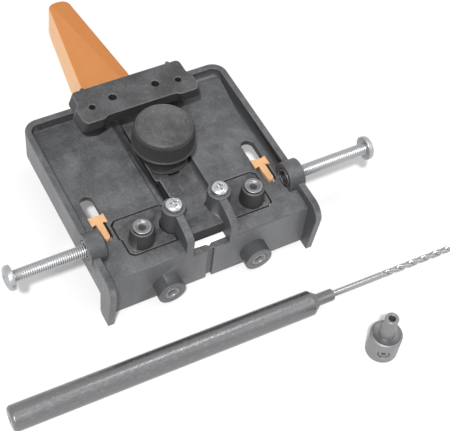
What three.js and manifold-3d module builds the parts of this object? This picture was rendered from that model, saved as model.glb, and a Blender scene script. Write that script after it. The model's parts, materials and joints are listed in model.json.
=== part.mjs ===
// Hinge plate drilling jig with a clamp lever, a long pilot drill and a stop collar.
// Millimetres, +Z up. X = 0 is the middle of the jig, Y = 0 is the fence face that
// bears on the front edge of the cabinet, Z = 0 is the seat that bears on its side.

import * as THREE from "three";
import * as BufferGeometryUtils from "three/addons/utils/BufferGeometryUtils.js";
import Module from "manifold-3d";

const wasm = await Module();
wasm.setup();

// Shared clearances
const gap = 0.3;
const overrun = 1;
const weldDistance = 1e-4;

// Moulded body: deck, rim and fence
const bodyWidth = 85.4;
const bodyRear = 73.8;
const cornerRadius = 6;
const deckTop = 9.6;
const deckThickness = 2.6;
const rimHeight = 13.5;
const rimWall = 2.5;
const fenceWall = 3;
const fenceDrop = 11.4;
const fenceBevel = 0.7;
const lugReach = 9.1;
const lugFootReach = 7.1;
const lugDrop = 12.1;
const lugArc = 5.9;
const lugChamfer = 1.5;

// Sight window, its sill and the groove on the centre line
const windowHalf = 7.3;
const throatHalf = 6.1;
const sillHeight = 5.8;
const grooveWidth = 2.4;
const grooveDepth = 0.8;
const notchDepth = 0.9;
const notchHeight = 2.5;

// Fins and screw posts at the window
const finThickness = 3;
const finFrontHeight = 15;
const finShoulderHeight = 17.9;
const postSpacing = 18.4;
const postY = 11.1;
const postRadius = 4.3;
const postTop = 19.5;
const webTop = 11.1;
const webBottom = 5;
const webFront = 2.9;
const webRear = 12.6;
const postScrewRadius = 1.5;

// Bush carriers set into the deck
const carrierReach = 6.2;
const carrierFront = 4;
const carrierRear = 20.4;
const carrierTop = 9.6;
const carrierBottom = 5;
const carrierJogY = 11.5;
const carrierJog = 0.8;
const carrierCorner = 1.6;
const carrierGap = 0.5;
const bushSpacing = 45;
const bushY = 9;
const bossTop = 17.2;
const bossTopRadius = 4.25;
const bossBaseRadius = 4.8;
const bossRound = 0.5;
const bushRadius = 3.2;
const bushProud = 0.7;
const bushBore = 1.35;
const bushMouth = 2.2;
const bushMouthDepth = 1.1;

// Bushes through the fence
const fenceBushSpacing = 35.9;
const fenceBushZ = -4.1;
const fenceBossRadius = 5.4;
const fenceBossReach = 5.5;
const fenceBushRadius = 2.75;

// Setback slots and pointers
const slotInset = 9.1;
const slotWidth = 5;
const slotFront = 12.9;
const slotRear = 35.1;
const setbackTravel = 8;
const pointerFront = 13.4;
const pointerRear = 24.6;
const pointerStem = 2.5;
const pointerArmFront = 20.6;
const pointerArmRear = 24.8;
const pointerArmHalf = 3.1;
const pointerWaist = 0.9;
const pointerRise = 1.2;
const pointerFoot = 0.9;

// Setback bar in its channel, with the strip under the deck that carries the pointers
const barX = 1;
const barHalf = 7.5;
const barFront = 13;
const barShoulder = 30.5;
const barWaist = 1.6;
const barRear = 60;
const barTop = 10;
const barThickness = 3;
const shoulderRadius = 1.2;
const ledgeDepth = 0.6;
const ledgeWidth = 3.2;
const channelGroove = 2.6;
const channelFloor = 1.8;
const channelMargin = 2.4;
const keyHalf = 2.5;
const keyFront = 20;
const keyRear = 25;
const linkScrewRadius = 1.25;
const linkScrewLength = 4.4;
const linkHeadRadius = 2.3;
const linkHeadHeight = 1.4;
const stripThickness = 1.7;
const stripFront = 18.6;
const stripRear = 26.4;

// Locking knob and its stud
const knobX = 1.4;
const knobY = 41.2;
const knobTop = 27;
const knobRadius = 11.5;
const knobSide = 8.6;
const knobFlare = 0.7;
const knobRound = 1.4;
const knobSkirt = 1.6;
const knobHubRadius = 8.4;
const knobRidges = 48;
const knobRidgeDepth = 0.35;
const knobCrownShares = [0, 0.25, 0.5, 0.75, 1];
const washerRadius = 10;
const washerHalf = 7.5;
const washerThickness = 0.9;
const studRadius = 2.5;
const studGrip = 9;
const nutRadius = 4.6;
const nutThickness = 3.2;

// Bridge over the rear of the bar
const bridgeTop = 23.8;
const bridgeThickness = 4.6;
const bridgeFront = 56.6;
const bridgeRear = 72.2;
const bridgeHalf = 22.6;
const bridgeShoulder = 1.3;
const bridgeDraft = 1.6;
const bridgeCorner = 1.1;
const bridgeFootX = 17;
const bridgeFootY = 64.3;
const bridgeFootRadius = 4.5;
const bridgeLobe = 1.1;
const bridgeLobeX = 14.2;
const bridgeOuterHoleX = 17.9;
const bridgeOuterHoleY = 62.6;
const bridgeOuterHoleRadius = 1.3;
const bridgeInnerHoleX = 8.9;
const bridgeInnerHoleY = 64.2;
const bridgeInnerHoleRadius = 1.6;
const bridgeNubRadius = 0.9;
const bridgeScrewRadius = 1.5;
const bridgeScrewLength = 12;

// Retainer strip that holds the bush carriers up
const retainerHalf = 25;
const retainerThickness = 1.8;
const retainerFront = 5.2;
const retainerRear = 15.4;

// Clamp lever, its ears and pin
const pivotY = 73;
const pivotZ = -5.8;
const earInner = 11.9;
const earThickness = 2.5;
const earRadius = 6.3;
const earFront = 58.5;
const earFoot = -2.4;
const leverPinRadius = 1.5;
const camRadius = 6;
const camOffset = 3;
const leverRootHalf = 10.4;
const leverTipHalf = 5;
const leverTaperStart = 92;
const leverTip = 141;
const leverTipRadius = 4.6;
const leverTop = 3.1;
const leverFloor = -12.1;
const leverDraft = 1.1;
const leverWall = 2.6;
const leverToe = 7;
const leverLimit = 40;

// Clamp jaw, pad and guide pin
const jawHalf = 11.2;
const jawFront = 60;
const jawFoot = -10.6;
const padThickness = 1.8;
const guidePinRadius = 1.5;
const guidePinZ = 2.4;

// Stop screws through the rim
const stopY = 11.2;
const stopZ = 12.3;
const stopBossRadius = 5.9;
const stopBossProud = 0.8;
const stopBossLength = 6.3;
const stopInsertRadius = 3.5;
const stopScrewRadius = 2.4;
const stopScrewInset = 0.8;
const stopScrewReach = 27.9;
const stopRightFurther = 2.1;
const stopHeadRadius = 4.7;
const stopHeadHeight = 3;

// Small pan-head screws
const panHeadRadius = 3.2;
const panHeadHeight = 2.2;
const panEdgeShare = 1 / 3;
const panCrownShares = [0.15, 0.45, 0.75, 0.95];
const recessArmShare = 0.125;
const recessReachShare = 0.55;
const recessDepthShare = 0.5;

// Long drill: arbor, neck and bit
const drillX = -88.5;
const drillY = -29.2;
const drillTurn = -1.1;
const arborRadius = 4.75;
const arborLength = 115.6;
const arborChamfer = 0.8;
const coneLength = 3.2;
const neckLength = 6.5;
const neckRadius = 2.3;
const bitRadius = 1.25;
const bitExposed = 52.9;
const bitSeat = 12;
const bitPoint = 1.1;
const grubRadius = 1;

// Stop collar
const collarX = 43;
const collarY = -57.2;
const collarTurn = -34;
const collarRadius = 5.95;
const collarHeight = 11.1;
const collarRim = 0.5;
const collarRecess = 0.5;
const collarRecessRadius = 5.1;
const collarNoseHeight = 10;
const collarNoseBase = 3;
const collarNoseTop = 2.5;
const collarBore = 1.35;
const collarGrubRadius = 1.9;

// Worked out from the sizes above
const bodyHalf = bodyWidth / 2;
const innerHalf = bodyHalf - rimWall;
const innerRear = bodyRear - rimWall;
const deckBottom = deckTop - deckThickness;
const slotX = bodyHalf - slotInset;
const pointerTop = deckTop + pointerRise;
const stopBossOuter = bodyHalf + stopBossProud;
const stopBossInner = stopBossOuter - stopBossLength;
const stopScrewInner = stopBossInner + stopScrewInset;
const stopScrewLength = bodyHalf + stopScrewReach - stopScrewInner;
const barBottom = barTop - barThickness;
const floorTop = barBottom - gap;
const floorBottom = floorTop - channelFloor;
const stripTop = floorBottom - gap;
const stripBottom = stripTop - stripThickness;
const nutTop = floorBottom - gap;
const nutBottom = nutTop - nutThickness;
const knobShoulder = knobTop - knobSide - knobSkirt;
const washerBottom = barTop + gap;
const knobBottom = washerBottom + washerThickness + gap;
const postX = postSpacing / 2;
const bushX = bushSpacing / 2;
const bushTop = bossTop + bushProud;
const carrierOuter = bushX + carrierReach;
const fenceBushX = fenceBushSpacing / 2;
const retainerTop = carrierBottom - gap;
const retainerBottom = retainerTop - retainerThickness;
const standZ = -lugDrop;
const earOuter = earInner + earThickness;
const jawRear = pivotY - camRadius - gap;
const jawTravel = camOffset * Math.sin(THREE.MathUtils.degToRad(leverLimit));
const guidePinY = (jawFront + pivotY - camRadius) / 2;
const linkY = (keyFront + keyRear) / 2;
const drillShoulder = arborLength + coneLength;
const drillMouth = drillShoulder + neckLength;

// Colours of the finishes
const finishes = {
  nylon: { color: 0x57585a, roughness: 0.62, metalness: 0 },
  darkNylon: { color: 0x47474a, roughness: 0.55, metalness: 0 },
  bushSteel: { color: 0x8d8e90, roughness: 0.38, metalness: 0.9 },
  zinc: { color: 0xc9cbcd, roughness: 0.25, metalness: 1 },
  orange: { color: 0xdb8d52, roughness: 0.48, metalness: 0 },
  blackSteel: { color: 0x2c2c2f, roughness: 0.34, metalness: 0.8 },
  rubber: { color: 0x2a2a2b, roughness: 0.8, metalness: 0 },
};

// Boolean helpers

function solidOf(geometry) {
  const bare = geometry.index ? geometry.toNonIndexed() : geometry.clone();
  bare.deleteAttribute("normal");
  bare.deleteAttribute("uv");
  const merged = BufferGeometryUtils.mergeVertices(bare, weldDistance);
  return new wasm.Manifold(new wasm.Mesh({
    numProp: 3,
    vertProperties: new Float32Array(merged.attributes.position.array),
    triVerts: new Uint32Array(merged.index.array),
  }));
}

function geometryOf(solid) {
  const mesh = solid.getMesh();
  const geometry = new THREE.BufferGeometry();
  geometry.setAttribute("position", new THREE.BufferAttribute(new Float32Array(mesh.vertProperties), 3));
  geometry.setIndex(new THREE.BufferAttribute(new Uint32Array(mesh.triVerts), 1));
  geometry.computeVertexNormals();
  return geometry;
}

const join = (first, ...rest) => rest.reduce((sum, piece) => sum.add(piece), first);
const cut = (first, ...rest) => rest.reduce((sum, piece) => sum.subtract(piece), first);

// A box between two corners
function block([x0, x1], [y0, y1], [z0, z1]) {
  const geometry = new THREE.BoxGeometry(x1 - x0, y1 - y0, z1 - z0);
  geometry.translate((x0 + x1) / 2, (y0 + y1) / 2, (z0 + z1) / 2);
  return solidOf(geometry);
}

// An outline in X and Y carried up Z
function upright(shape, [z0, z1], curveSegments = 10) {
  const geometry = new THREE.ExtrudeGeometry(shape, { depth: z1 - z0, bevelEnabled: false, curveSegments });
  geometry.translate(0, 0, z0);
  return solidOf(geometry);
}

// An outline in Y and Z carried along X
function sideways(shape, [x0, x1], curveSegments = 10) {
  const geometry = new THREE.ExtrudeGeometry(shape, { depth: x1 - x0, bevelEnabled: false, curveSegments });
  geometry.rotateY(Math.PI / 2);
  geometry.rotateX(Math.PI / 2);
  geometry.translate(x0, 0, 0);
  return solidOf(geometry);
}

// A profile of [radius, height] points spun about Z
function spunGeometry(profile, sides = 32) {
  const closed = [[0, profile[0][1]], ...profile, [0, profile[profile.length - 1][1]]];
  const points = closed.map(([radius, height]) => new THREE.Vector2(radius, height));
  return new THREE.LatheGeometry(points, sides).rotateX(Math.PI / 2);
}

function spun(profile, [x, y], sides = 32) {
  return solidOf(spunGeometry(profile, sides).translate(x, y, 0));
}

// A profile of [radius, distance] points spun about a line along X or along Y
function spunAlongX(profile, [y, z], sides = 24) {
  return solidOf(spunGeometry(profile, sides).rotateY(Math.PI / 2).translate(0, y, z));
}

function spunAlongY(profile, [x, z], sides = 32) {
  return solidOf(spunGeometry(profile, sides).rotateX(-Math.PI / 2).translate(x, 0, z));
}

const rod = (radius, [z0, z1], centre, sides) => spun([[radius, z0], [radius, z1]], centre, sides);
const rodX = (radius, [x0, x1], centre, sides) => spunAlongX([[radius, x0], [radius, x1]], centre, sides);
const rodY = (radius, [y0, y1], centre, sides) => spunAlongY([[radius, y0], [radius, y1]], centre, sides);

// A closed outline from corner points
function outline(points) {
  const shape = new THREE.Shape();
  points.forEach(([u, v], index) => (index ? shape.lineTo(u, v) : shape.moveTo(u, v)));
  shape.closePath();
  return shape;
}

// A closed outline whose corners are drawn as curves that start a radius away from them
function softOutline(points, radius) {
  const shape = new THREE.Shape();
  points.forEach(([u, v], index) => {
    const corner = new THREE.Vector2(u, v);
    const reach = [points.length - 1, 1].map((step) => {
      const other = new THREE.Vector2(...points[(index + step) % points.length]).sub(corner);
      return other.setLength(Math.min(radius, other.length() / 2)).add(corner);
    });
    if (index) shape.lineTo(reach[0].x, reach[0].y);
    else shape.moveTo(reach[0].x, reach[0].y);
    shape.quadraticCurveTo(u, v, reach[1].x, reach[1].y);
  });
  shape.closePath();
  return shape;
}

// A slot outline with round ends, from one end to the other along Y
function slotOutline(x, width, front, rear) {
  const radius = width / 2;
  const shape = new THREE.Shape();
  shape.absarc(x, front + radius, radius, Math.PI, Math.PI * 2, false);
  shape.absarc(x, rear - radius, radius, 0, Math.PI, false);
  shape.closePath();
  return shape;
}

// The outline of the deck, inset from the outer faces, with round rear corners
function deckOutline(inset, front) {
  const half = bodyHalf - inset;
  const rear = bodyRear - inset;
  const radius = Math.max(cornerRadius - inset, gap);
  const shape = new THREE.Shape();
  shape.moveTo(-half, front);
  shape.lineTo(half, front);
  shape.lineTo(half, rear - radius);
  shape.absarc(half - radius, rear - radius, radius, 0, Math.PI / 2, false);
  shape.absarc(-half + radius, rear - radius, radius, Math.PI / 2, Math.PI, false);
  shape.closePath();
  return shape;
}

// A piece drawn out towards its foot by a share of its size in X and in Y
function flared(solid, [z0, z1], share, [alongX, alongY]) {
  return solid.warp((vertex) => {
    const growth = share * (z1 - vertex[2]) / (z1 - z0);
    vertex[0] *= 1 + alongX * growth;
    vertex[1] *= 1 + alongY * growth;
  });
}

// Body pieces

// Deck plate and the rim round its two sides and rear
function deckAndRim() {
  const deck = upright(deckOutline(0, 0), [deckBottom, deckTop]);
  const ring = upright(deckOutline(0, stopY), [0, rimHeight]);
  const hollow = upright(deckOutline(rimWall, stopY - overrun), [-overrun, rimHeight + overrun]);
  return join(deck, cut(ring, hollow));
}

function fence() {
  const profile = outline([
    [0, -fenceDrop], [0, deckTop], [-fenceWall, deckTop - fenceBevel], [-fenceWall, -fenceDrop],
  ]);
  const notch = outline([
    [-grooveWidth / 2, -fenceDrop - overrun], [grooveWidth / 2, -fenceDrop - overrun],
    [grooveWidth / 2, notchDepth - fenceDrop], [-grooveWidth / 2, notchDepth - fenceDrop],
  ]);
  const wall = sideways(profile, [-innerHalf - gap, innerHalf + gap]);
  const groove = block(
    [-grooveWidth / 2, grooveWidth / 2], [-fenceWall - overrun, grooveDepth - fenceWall],
    [-fenceDrop - overrun, sillHeight + overrun],
  );
  const foot = solidOf(
    new THREE.ExtrudeGeometry(notch, { depth: grooveDepth + overrun, bevelEnabled: false })
      .rotateX(Math.PI / 2).translate(0, grooveDepth + grooveDepth - fenceWall, 0),
  );
  return cut(wall, groove, foot);
}

// Side cheek: the rim runs forward, arcs down and ends in a lug below the fence
function cheek(side) {
  const shape = new THREE.Shape();
  shape.moveTo(stopY + rimWall, 0);
  shape.lineTo(stopY + rimWall, rimHeight);
  shape.lineTo(lugArc - lugReach, rimHeight);
  shape.absarc(lugArc - lugReach, rimHeight - lugArc, lugArc, Math.PI / 2, Math.PI, false);
  shape.lineTo(-lugFootReach, standZ);
  shape.lineTo(-lugChamfer, standZ);
  shape.lineTo(0, standZ + lugChamfer);
  shape.lineTo(0, 0);
  shape.closePath();
  const near = side * innerHalf;
  const far = side * bodyHalf;
  return sideways(shape, [Math.min(near, far), Math.max(near, far)]);
}

// Web between the posts, the posts, and a fin from each post down to the fence
function windowFrame() {
  const web = block([-postX, postX], [webFront, webRear], [webBottom, webTop]);
  const finTop = new THREE.Shape();
  finTop.moveTo(postY, sillHeight);
  finTop.lineTo(postY, postTop - gap);
  const bendY = -fenceWall / 2;
  const bendZ = finShoulderHeight - finThickness / 2;
  finTop.quadraticCurveTo((postY - fenceWall) / 2, postTop - gap, bendY, bendZ);
  finTop.quadraticCurveTo(-fenceWall, finShoulderHeight - finThickness, -fenceWall, finFrontHeight);
  finTop.lineTo(-fenceWall, sillHeight);
  finTop.closePath();
  const pieces = [-1, 1].flatMap((side) => {
    const near = side * windowHalf;
    const far = side * (windowHalf + finThickness);
    return [
      sideways(finTop, [Math.min(near, far), Math.max(near, far)], 6),
      rod(postRadius, [webBottom, postTop], [side * postX, postY], 32),
    ];
  });
  return join(web, ...pieces);
}

function windowCuts() {
  const opening = block([-windowHalf, windowHalf], [-fenceWall - overrun, webFront], [sillHeight, postTop]);
  const throat = block([-throatHalf, throatHalf], [0, webFront], [0, postTop]);
  const vee = outline([[0, -notchDepth], [grooveWidth / 2, 0], [0, notchDepth], [-grooveWidth / 2, 0]]);
  return [opening, throat, upright(vee, [sillHeight - notchHeight, sillHeight + overrun])];
}

// Outline of a bush carrier: outer side with a small jog, cut corner at the rear
function carrierOutline(side, margin) {
  const outer = carrierOuter + margin;
  const front = carrierFront - margin;
  const rear = carrierRear + margin;
  return outline([
    [side * (postX - margin), front],
    [side * (outer - carrierCorner), front],
    [side * outer, front + carrierCorner],
    [side * outer, carrierJogY],
    [side * (outer + carrierJog), carrierJogY + carrierJog],
    [side * (outer + carrierJog), rear - carrierCorner],
    [side * (outer + carrierJog - carrierCorner), rear],
    [side * (postX - margin), rear],
  ]);
}

// Channel for the bar: a trough with a floor, a groove on its right and a low ledge round it
const troughLeft = barX - barHalf - gap;
const troughRight = barX + barHalf + channelGroove;
const channelLeft = troughLeft - channelMargin;
const channelRight = troughRight + channelMargin;

function channelFloorPiece() {
  return block([channelLeft, channelRight], [webRear - overrun, innerRear + gap], [floorBottom, deckTop]);
}

function channelCuts() {
  const trough = block([troughLeft, troughRight], [webRear, innerRear - gap], [floorTop, deckTop + overrun]);
  const ledge = block(
    [troughLeft - ledgeWidth, troughLeft + gap], [carrierRear + gap, innerRear - gap],
    [deckTop - ledgeDepth, deckTop + overrun],
  );
  const keyway = block(
    [barX - keyHalf - gap, barX + keyHalf + gap], [keyFront - gap, keyRear + setbackTravel + gap],
    [floorBottom - overrun, floorTop + overrun],
  );
  const studHole = rod(studRadius + gap, [floorBottom - overrun, floorTop + overrun], [knobX, knobY], 24);
  return [trough, ledge, keyway, studHole];
}

// Ears under the rear of the deck carry the lever pin and guide the jaw
function ear(side) {
  const shape = new THREE.Shape();
  shape.moveTo(earFront, deckBottom + gap);
  shape.lineTo(earFront, earFoot);
  shape.lineTo(pivotY - earRadius, earFoot);
  shape.lineTo(pivotY - earRadius, pivotZ);
  shape.absarc(pivotY, pivotZ, earRadius, Math.PI, Math.PI * 2, false);
  shape.lineTo(pivotY + earRadius, pivotZ + camRadius);
  shape.lineTo(bodyRear, deckBottom + gap);
  shape.closePath();
  const near = side * earInner;
  const far = side * earOuter;
  return sideways(shape, [Math.min(near, far), Math.max(near, far)], 16);
}

function earCuts() {
  const reach = earOuter + overrun;
  const slotHalf = guidePinRadius + gap;
  const slotY = [guidePinY - jawTravel - slotHalf, guidePinY + slotHalf];
  return [
    rodX(leverPinRadius + gap, [-reach, reach], [pivotY, pivotZ], 20),
    block([-reach, reach], slotY, [guidePinZ - slotHalf, guidePinZ + slotHalf]),
    block([-earInner, earInner], [innerRear - gap, bodyRear + overrun], [-overrun, deckTop]),
  ];
}

// Round bosses in the rim for the stop screws
function stopBoss(side) {
  const ends = [side * stopBossInner, side * stopBossOuter].sort((a, b) => a - b);
  return rodX(stopBossRadius, ends, [stopY, stopZ], 36);
}

function makeBody() {
  const sides = [-1, 1];
  const fenceFront = -fenceWall - fenceBossReach;
  const solid = join(
    deckAndRim(), fence(), channelFloorPiece(),
    ...sides.map(cheek), ...sides.map(ear), ...sides.map(stopBoss),
    ...sides.map((side) => rodY(fenceBossRadius, [fenceFront, -gap], [side * fenceBushX, fenceBushZ], 36)),
  );
  const pockets = sides.map((side) => upright(carrierOutline(side, carrierGap), [0, rimHeight]));
  const slots = sides.map((side) => (
    upright(slotOutline(side * slotX, slotWidth, slotFront, slotRear), [0, rimHeight])
  ));
  const stopBores = sides.map((side) => {
    const ends = [side * (stopBossInner - gap), side * (stopBossOuter + overrun)].sort((a, b) => a - b);
    return rodX(stopInsertRadius + gap, ends, [stopY, stopZ], 24);
  });
  const fenceBores = sides.map((side) => (
    rodY(fenceBushRadius + gap, [fenceFront - overrun, overrun], [side * fenceBushX, fenceBushZ], 24)
  ));
  const footBores = sides.map((side) => (
    rod(bridgeScrewRadius + gap, [0, deckTop + overrun], [side * bridgeOuterHoleX, bridgeOuterHoleY], 16)
  ));
  const opened = cut(solid, ...pockets, ...slots, ...windowCuts(), ...channelCuts());
  const framed = join(opened, cut(windowFrame(), ...windowCuts().slice(0, 2)));
  const postBores = sides.map((side) => (
    rod(postScrewRadius + gap, [webBottom - overrun, postTop + overrun], [side * postX, postY], 16)
  ));
  return cut(framed, ...stopBores, ...fenceBores, ...footBores, ...postBores, ...earCuts());
}

// Carriers and bushes

function makeCarrier(side) {
  const plate = upright(carrierOutline(side, 0), [carrierBottom, carrierTop]);
  const centre = [side * bushX, bushY];
  const bossProfile = [
    [bossBaseRadius, carrierTop - gap], [bossTopRadius, bossTop - bossRound],
    [bossTopRadius - bossRound / 3, bossTop - bossRound / 3], [bossTopRadius - bossRound, bossTop],
  ];
  const boss = spun(bossProfile, centre, 36);
  const bore = rod(bushRadius + gap, [carrierBottom - overrun, bushTop + overrun], centre, 28);
  const postHollow = rod(postRadius + carrierGap, [0, postTop], [side * postX, postY], 32);
  const finSpan = [0, side * (windowHalf + finThickness + carrierGap)].sort((a, b) => a - b);
  const finHollow = block(finSpan, [-fenceWall, postY], [0, postTop]);
  const channelEdge = side > 0 ? channelRight + carrierGap : channelLeft - carrierGap;
  const channelSpan = [0, channelEdge].sort((a, b) => a - b);
  const channelHollow = block(channelSpan, [webRear - overrun - gap, carrierRear + overrun], [0, postTop]);
  const slot = slotOutline(side * slotX, slotWidth + 2 * gap, slotFront - gap, slotRear + gap);
  return cut(join(plate, boss), bore, postHollow, finHollow, channelHollow, upright(slot, [0, postTop]));
}

// A drill bush with a cone at its mouth
function bushProfile(radius, [back, mouth]) {
  return [
    [bushBore, back], [radius, back], [radius, mouth - bushMouthDepth / 4],
    [radius - bushMouthDepth / 4, mouth], [bushMouth, mouth], [bushBore, mouth - bushMouthDepth],
  ];
}

function ringSolid(profile, sides) {
  const points = [...profile, profile[0]].map(([radius, height]) => new THREE.Vector2(radius, height));
  return new THREE.LatheGeometry(points, sides).rotateX(Math.PI / 2);
}

function makeTopBush(side) {
  const ring = ringSolid(bushProfile(bushRadius, [carrierBottom, bushTop]), 28);
  return solidOf(ring.translate(side * bushX, bushY, 0));
}

function makeFenceBush(side) {
  const reach = fenceWall + fenceBossReach;
  const ring = ringSolid(bushProfile(fenceBushRadius, [gap, reach]), 28).rotateX(Math.PI / 2);
  return solidOf(ring.translate(side * fenceBushX, 0, fenceBushZ));
}

function makeRetainer() {
  const spanX = [-retainerHalf, retainerHalf];
  const strip = block(spanX, [retainerFront, retainerRear], [retainerBottom, retainerTop]);
  const bores = [-1, 1].flatMap((side) => [
    rod(postScrewRadius + gap, [0, carrierBottom], [side * postX, postY], 16),
    rod(bushBore + gap, [0, carrierBottom], [side * bushX, bushY], 16),
  ]);
  return cut(strip, ...bores);
}

// Screws

// A pan head with a rounded top, its seat at height 0 and its shank below
function panProfile(shank, length, head, height) {
  const edge = height * panEdgeShare;
  const crown = panCrownShares.map((share) => {
    const angle = share * Math.PI / 2;
    return [head * Math.cos(angle), edge + (height - edge) * Math.sin(angle)];
  });
  return [[shank, -length], [shank, 0], [head, 0], [head, edge], ...crown];
}

function crossRecess(head, height) {
  const arm = head * recessArmShare;
  const reach = head * recessReachShare;
  const depth = height * recessDepthShare;
  return join(
    block([-arm, arm], [-reach, reach], [height - depth, height + overrun]),
    block([-reach, reach], [-arm, arm], [height - depth, height + overrun]),
  );
}

function makePanScrew(shank, length, head, height) {
  const solid = spun(panProfile(shank, length, head, height), [0, 0], 24);
  return cut(solid, crossRecess(head, height));
}

// Setback bar, knob and pointers

function makeBar() {
  const left = barX - barHalf;
  const right = barX + barHalf;
  const shape = new THREE.Shape();
  shape.moveTo(left + barWaist, barFront);
  shape.lineTo(right, barFront);
  shape.lineTo(right, barRear);
  shape.lineTo(left, barRear);
  shape.lineTo(left, barShoulder + shoulderRadius);
  const shoulderX = left + shoulderRadius;
  shape.absarc(shoulderX, barShoulder + shoulderRadius, shoulderRadius, Math.PI, Math.PI * 1.5, false);
  shape.lineTo(left + barWaist, barShoulder);
  shape.closePath();
  const posts = [-1, 1].map((side) => (
    rod(postRadius + gap, [0, rimHeight], [side * postX, postY], 32)
  ));
  const key = block([barX - keyHalf, barX + keyHalf], [keyFront, keyRear], [stripTop + gap, barTop - gap]);
  const linkBore = rod(linkScrewRadius + gap, [0, stripTop + linkScrewLength], [barX, linkY], 16);
  const lockSlot = slotOutline(
    knobX, 2 * (studRadius + gap), knobY - setbackTravel - studRadius - gap, knobY + studRadius + gap,
  );
  const lockCut = upright(lockSlot, [0, rimHeight]);
  return cut(join(cut(upright(shape, [barBottom, barTop], 6), ...posts), key), lockCut, linkBore);
}

// Knob with a fluted band, a rounded cap and a smaller hub
function makeKnob() {
  const band = new THREE.Shape();
  const steps = knobRidges * 2;
  for (let step = 0; step < steps; step += 1) {
    const angle = (step / steps) * Math.PI * 2;
    const radius = step % 2 ? knobRadius - knobRidgeDepth : knobRadius;
    const point = [radius * Math.cos(angle), radius * Math.sin(angle)];
    if (step) band.lineTo(...point);
    else band.moveTo(...point);
  }
  band.closePath();
  const capFoot = knobTop - knobRound;
  const capRadius = knobRadius - knobRidgeDepth * 2;
  const crown = knobCrownShares.map((share) => {
    const angle = share * Math.PI / 2;
    return [capRadius - knobRound * (1 - Math.cos(angle)), capFoot + knobRound * Math.sin(angle)];
  });
  const waist = knobTop - knobSide;
  const cap = spun([[capRadius, capFoot - knobRound], ...crown], [0, 0], 64);
  const bandHeight = [waist, capFoot - knobRound / 4];
  const fluted = flared(upright(band, bandHeight), bandHeight, knobFlare / knobRadius, [1, 1]);
  const hub = spun([
    [knobHubRadius, knobBottom], [knobHubRadius, knobShoulder], [knobRadius - knobSkirt, waist],
    [knobRadius - knobSkirt, waist + gap],
  ], [0, 0], 48);
  const bore = rod(studRadius + gap, [knobBottom - overrun, knobBottom + studGrip + gap], [0, 0], 24);
  return cut(join(cap, fluted, hub), bore);
}

// Clamp plate on the bar: a disc with two flats along the bar
function makeWasher() {
  const height = [washerBottom, washerBottom + washerThickness];
  const disc = rod(washerRadius, height, [0, 0], 48);
  const plate = disc.intersect(block([-washerHalf, washerHalf], [-washerRadius, washerRadius], height));
  return cut(plate, rod(studRadius + gap, [0, knobTop], [0, 0], 24));
}

const makeStud = () => rod(studRadius, [nutBottom, knobBottom + studGrip], [0, 0], 24);

function makeNut() {
  const plate = rod(nutRadius, [nutBottom, nutTop], [0, 0], 6);
  return cut(plate, rod(studRadius + gap, [-overrun, nutTop + overrun], [0, 0], 24));
}

function makePointerStrip() {
  const reach = slotX + slotWidth / 2 - gap;
  const cross = block([-reach, reach], [stripFront, stripRear], [stripBottom, stripTop]);
  return cut(cross, rod(linkScrewRadius + gap, [0, deckTop], [barX, linkY], 16));
}

// Pointer: a foot on the strip and a cross whose arms flare out just over the deck
function makePointer(side) {
  const x = side * slotX;
  const armReach = slotWidth / 2 - gap;
  const spanX = [x - armReach, x + armReach];
  const footBottom = stripTop + gap;
  const foot = block(spanX, [stripFront, stripRear], [footBottom, footBottom + pointerFoot]);
  const stem = upright(slotOutline(x, pointerStem, pointerFront, pointerRear), [footBottom, pointerTop], 6);
  const flare = [
    [-pointerArmHalf, pointerArmFront], [0, pointerArmFront + pointerWaist],
    [pointerArmHalf, pointerArmFront], [pointerArmHalf, pointerArmRear],
    [0, pointerArmRear - pointerWaist], [-pointerArmHalf, pointerArmRear],
  ].map(([u, v]) => [x + u, v]);
  const arms = upright(outline(flare), [deckTop + gap, pointerTop]);
  return join(foot, stem, arms);
}

// Bridge

function bridgeOutline() {
  const wide = bridgeHalf + bridgeShoulder;
  const half = [
    [bridgeLobeX, bridgeFront], [bridgeLobeX + bridgeLobe, bridgeFront - bridgeLobe],
    [bridgeHalf, bridgeFront - bridgeLobe], [wide, bridgeFront + bridgeShoulder],
    [wide, bridgeOuterHoleY + bridgeShoulder], [bridgeHalf, bridgeOuterHoleY + 2 * bridgeShoulder],
    [bridgeHalf, bridgeRear - bridgeLobe], [bridgeHalf - bridgeLobe, bridgeRear],
  ];
  const mirrored = half.map(([x, y]) => [-x, y]).reverse();
  return softOutline([...half, ...mirrored], bridgeCorner);
}

function makeBridge() {
  const height = [bridgeTop - bridgeThickness, bridgeTop];
  const plate = flared(upright(bridgeOutline(), height, 4), height, bridgeDraft / bridgeHalf, [1, 0]);
  const feet = [-1, 1].map((side) => (
    rod(bridgeFootRadius, [deckTop + gap, bridgeTop - gap], [side * bridgeFootX, bridgeFootY], 32)
  ));
  const nubs = [-1, 1].map((side) => (
    rod(bridgeNubRadius, height, [side * bridgeOuterHoleX, bridgeRear], 12)
  ));
  const bores = [-1, 1].flatMap((side) => [
    rod(bridgeOuterHoleRadius, [deckTop, bridgeTop + overrun], [side * bridgeOuterHoleX, bridgeOuterHoleY], 16),
    rod(bridgeInnerHoleRadius, [bridgeTop - bridgeThickness - overrun, bridgeTop + overrun],
      [side * bridgeInnerHoleX, bridgeInnerHoleY], 16),
    rod(bridgeScrewRadius + gap, [0, deckBottom + bridgeScrewLength],
      [side * bridgeOuterHoleX, bridgeOuterHoleY], 16),
  ]);
  return cut(join(plate, ...feet, ...nubs), ...bores);
}

// Lever and jaw

// Half width of the lever's top at a place along Y
function leverHalf(y) {
  const share = THREE.MathUtils.clamp((y - leverTaperStart) / (leverTip - leverTaperStart), 0, 1);
  return THREE.MathUtils.lerp(leverRootHalf, leverTipHalf, share);
}

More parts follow.
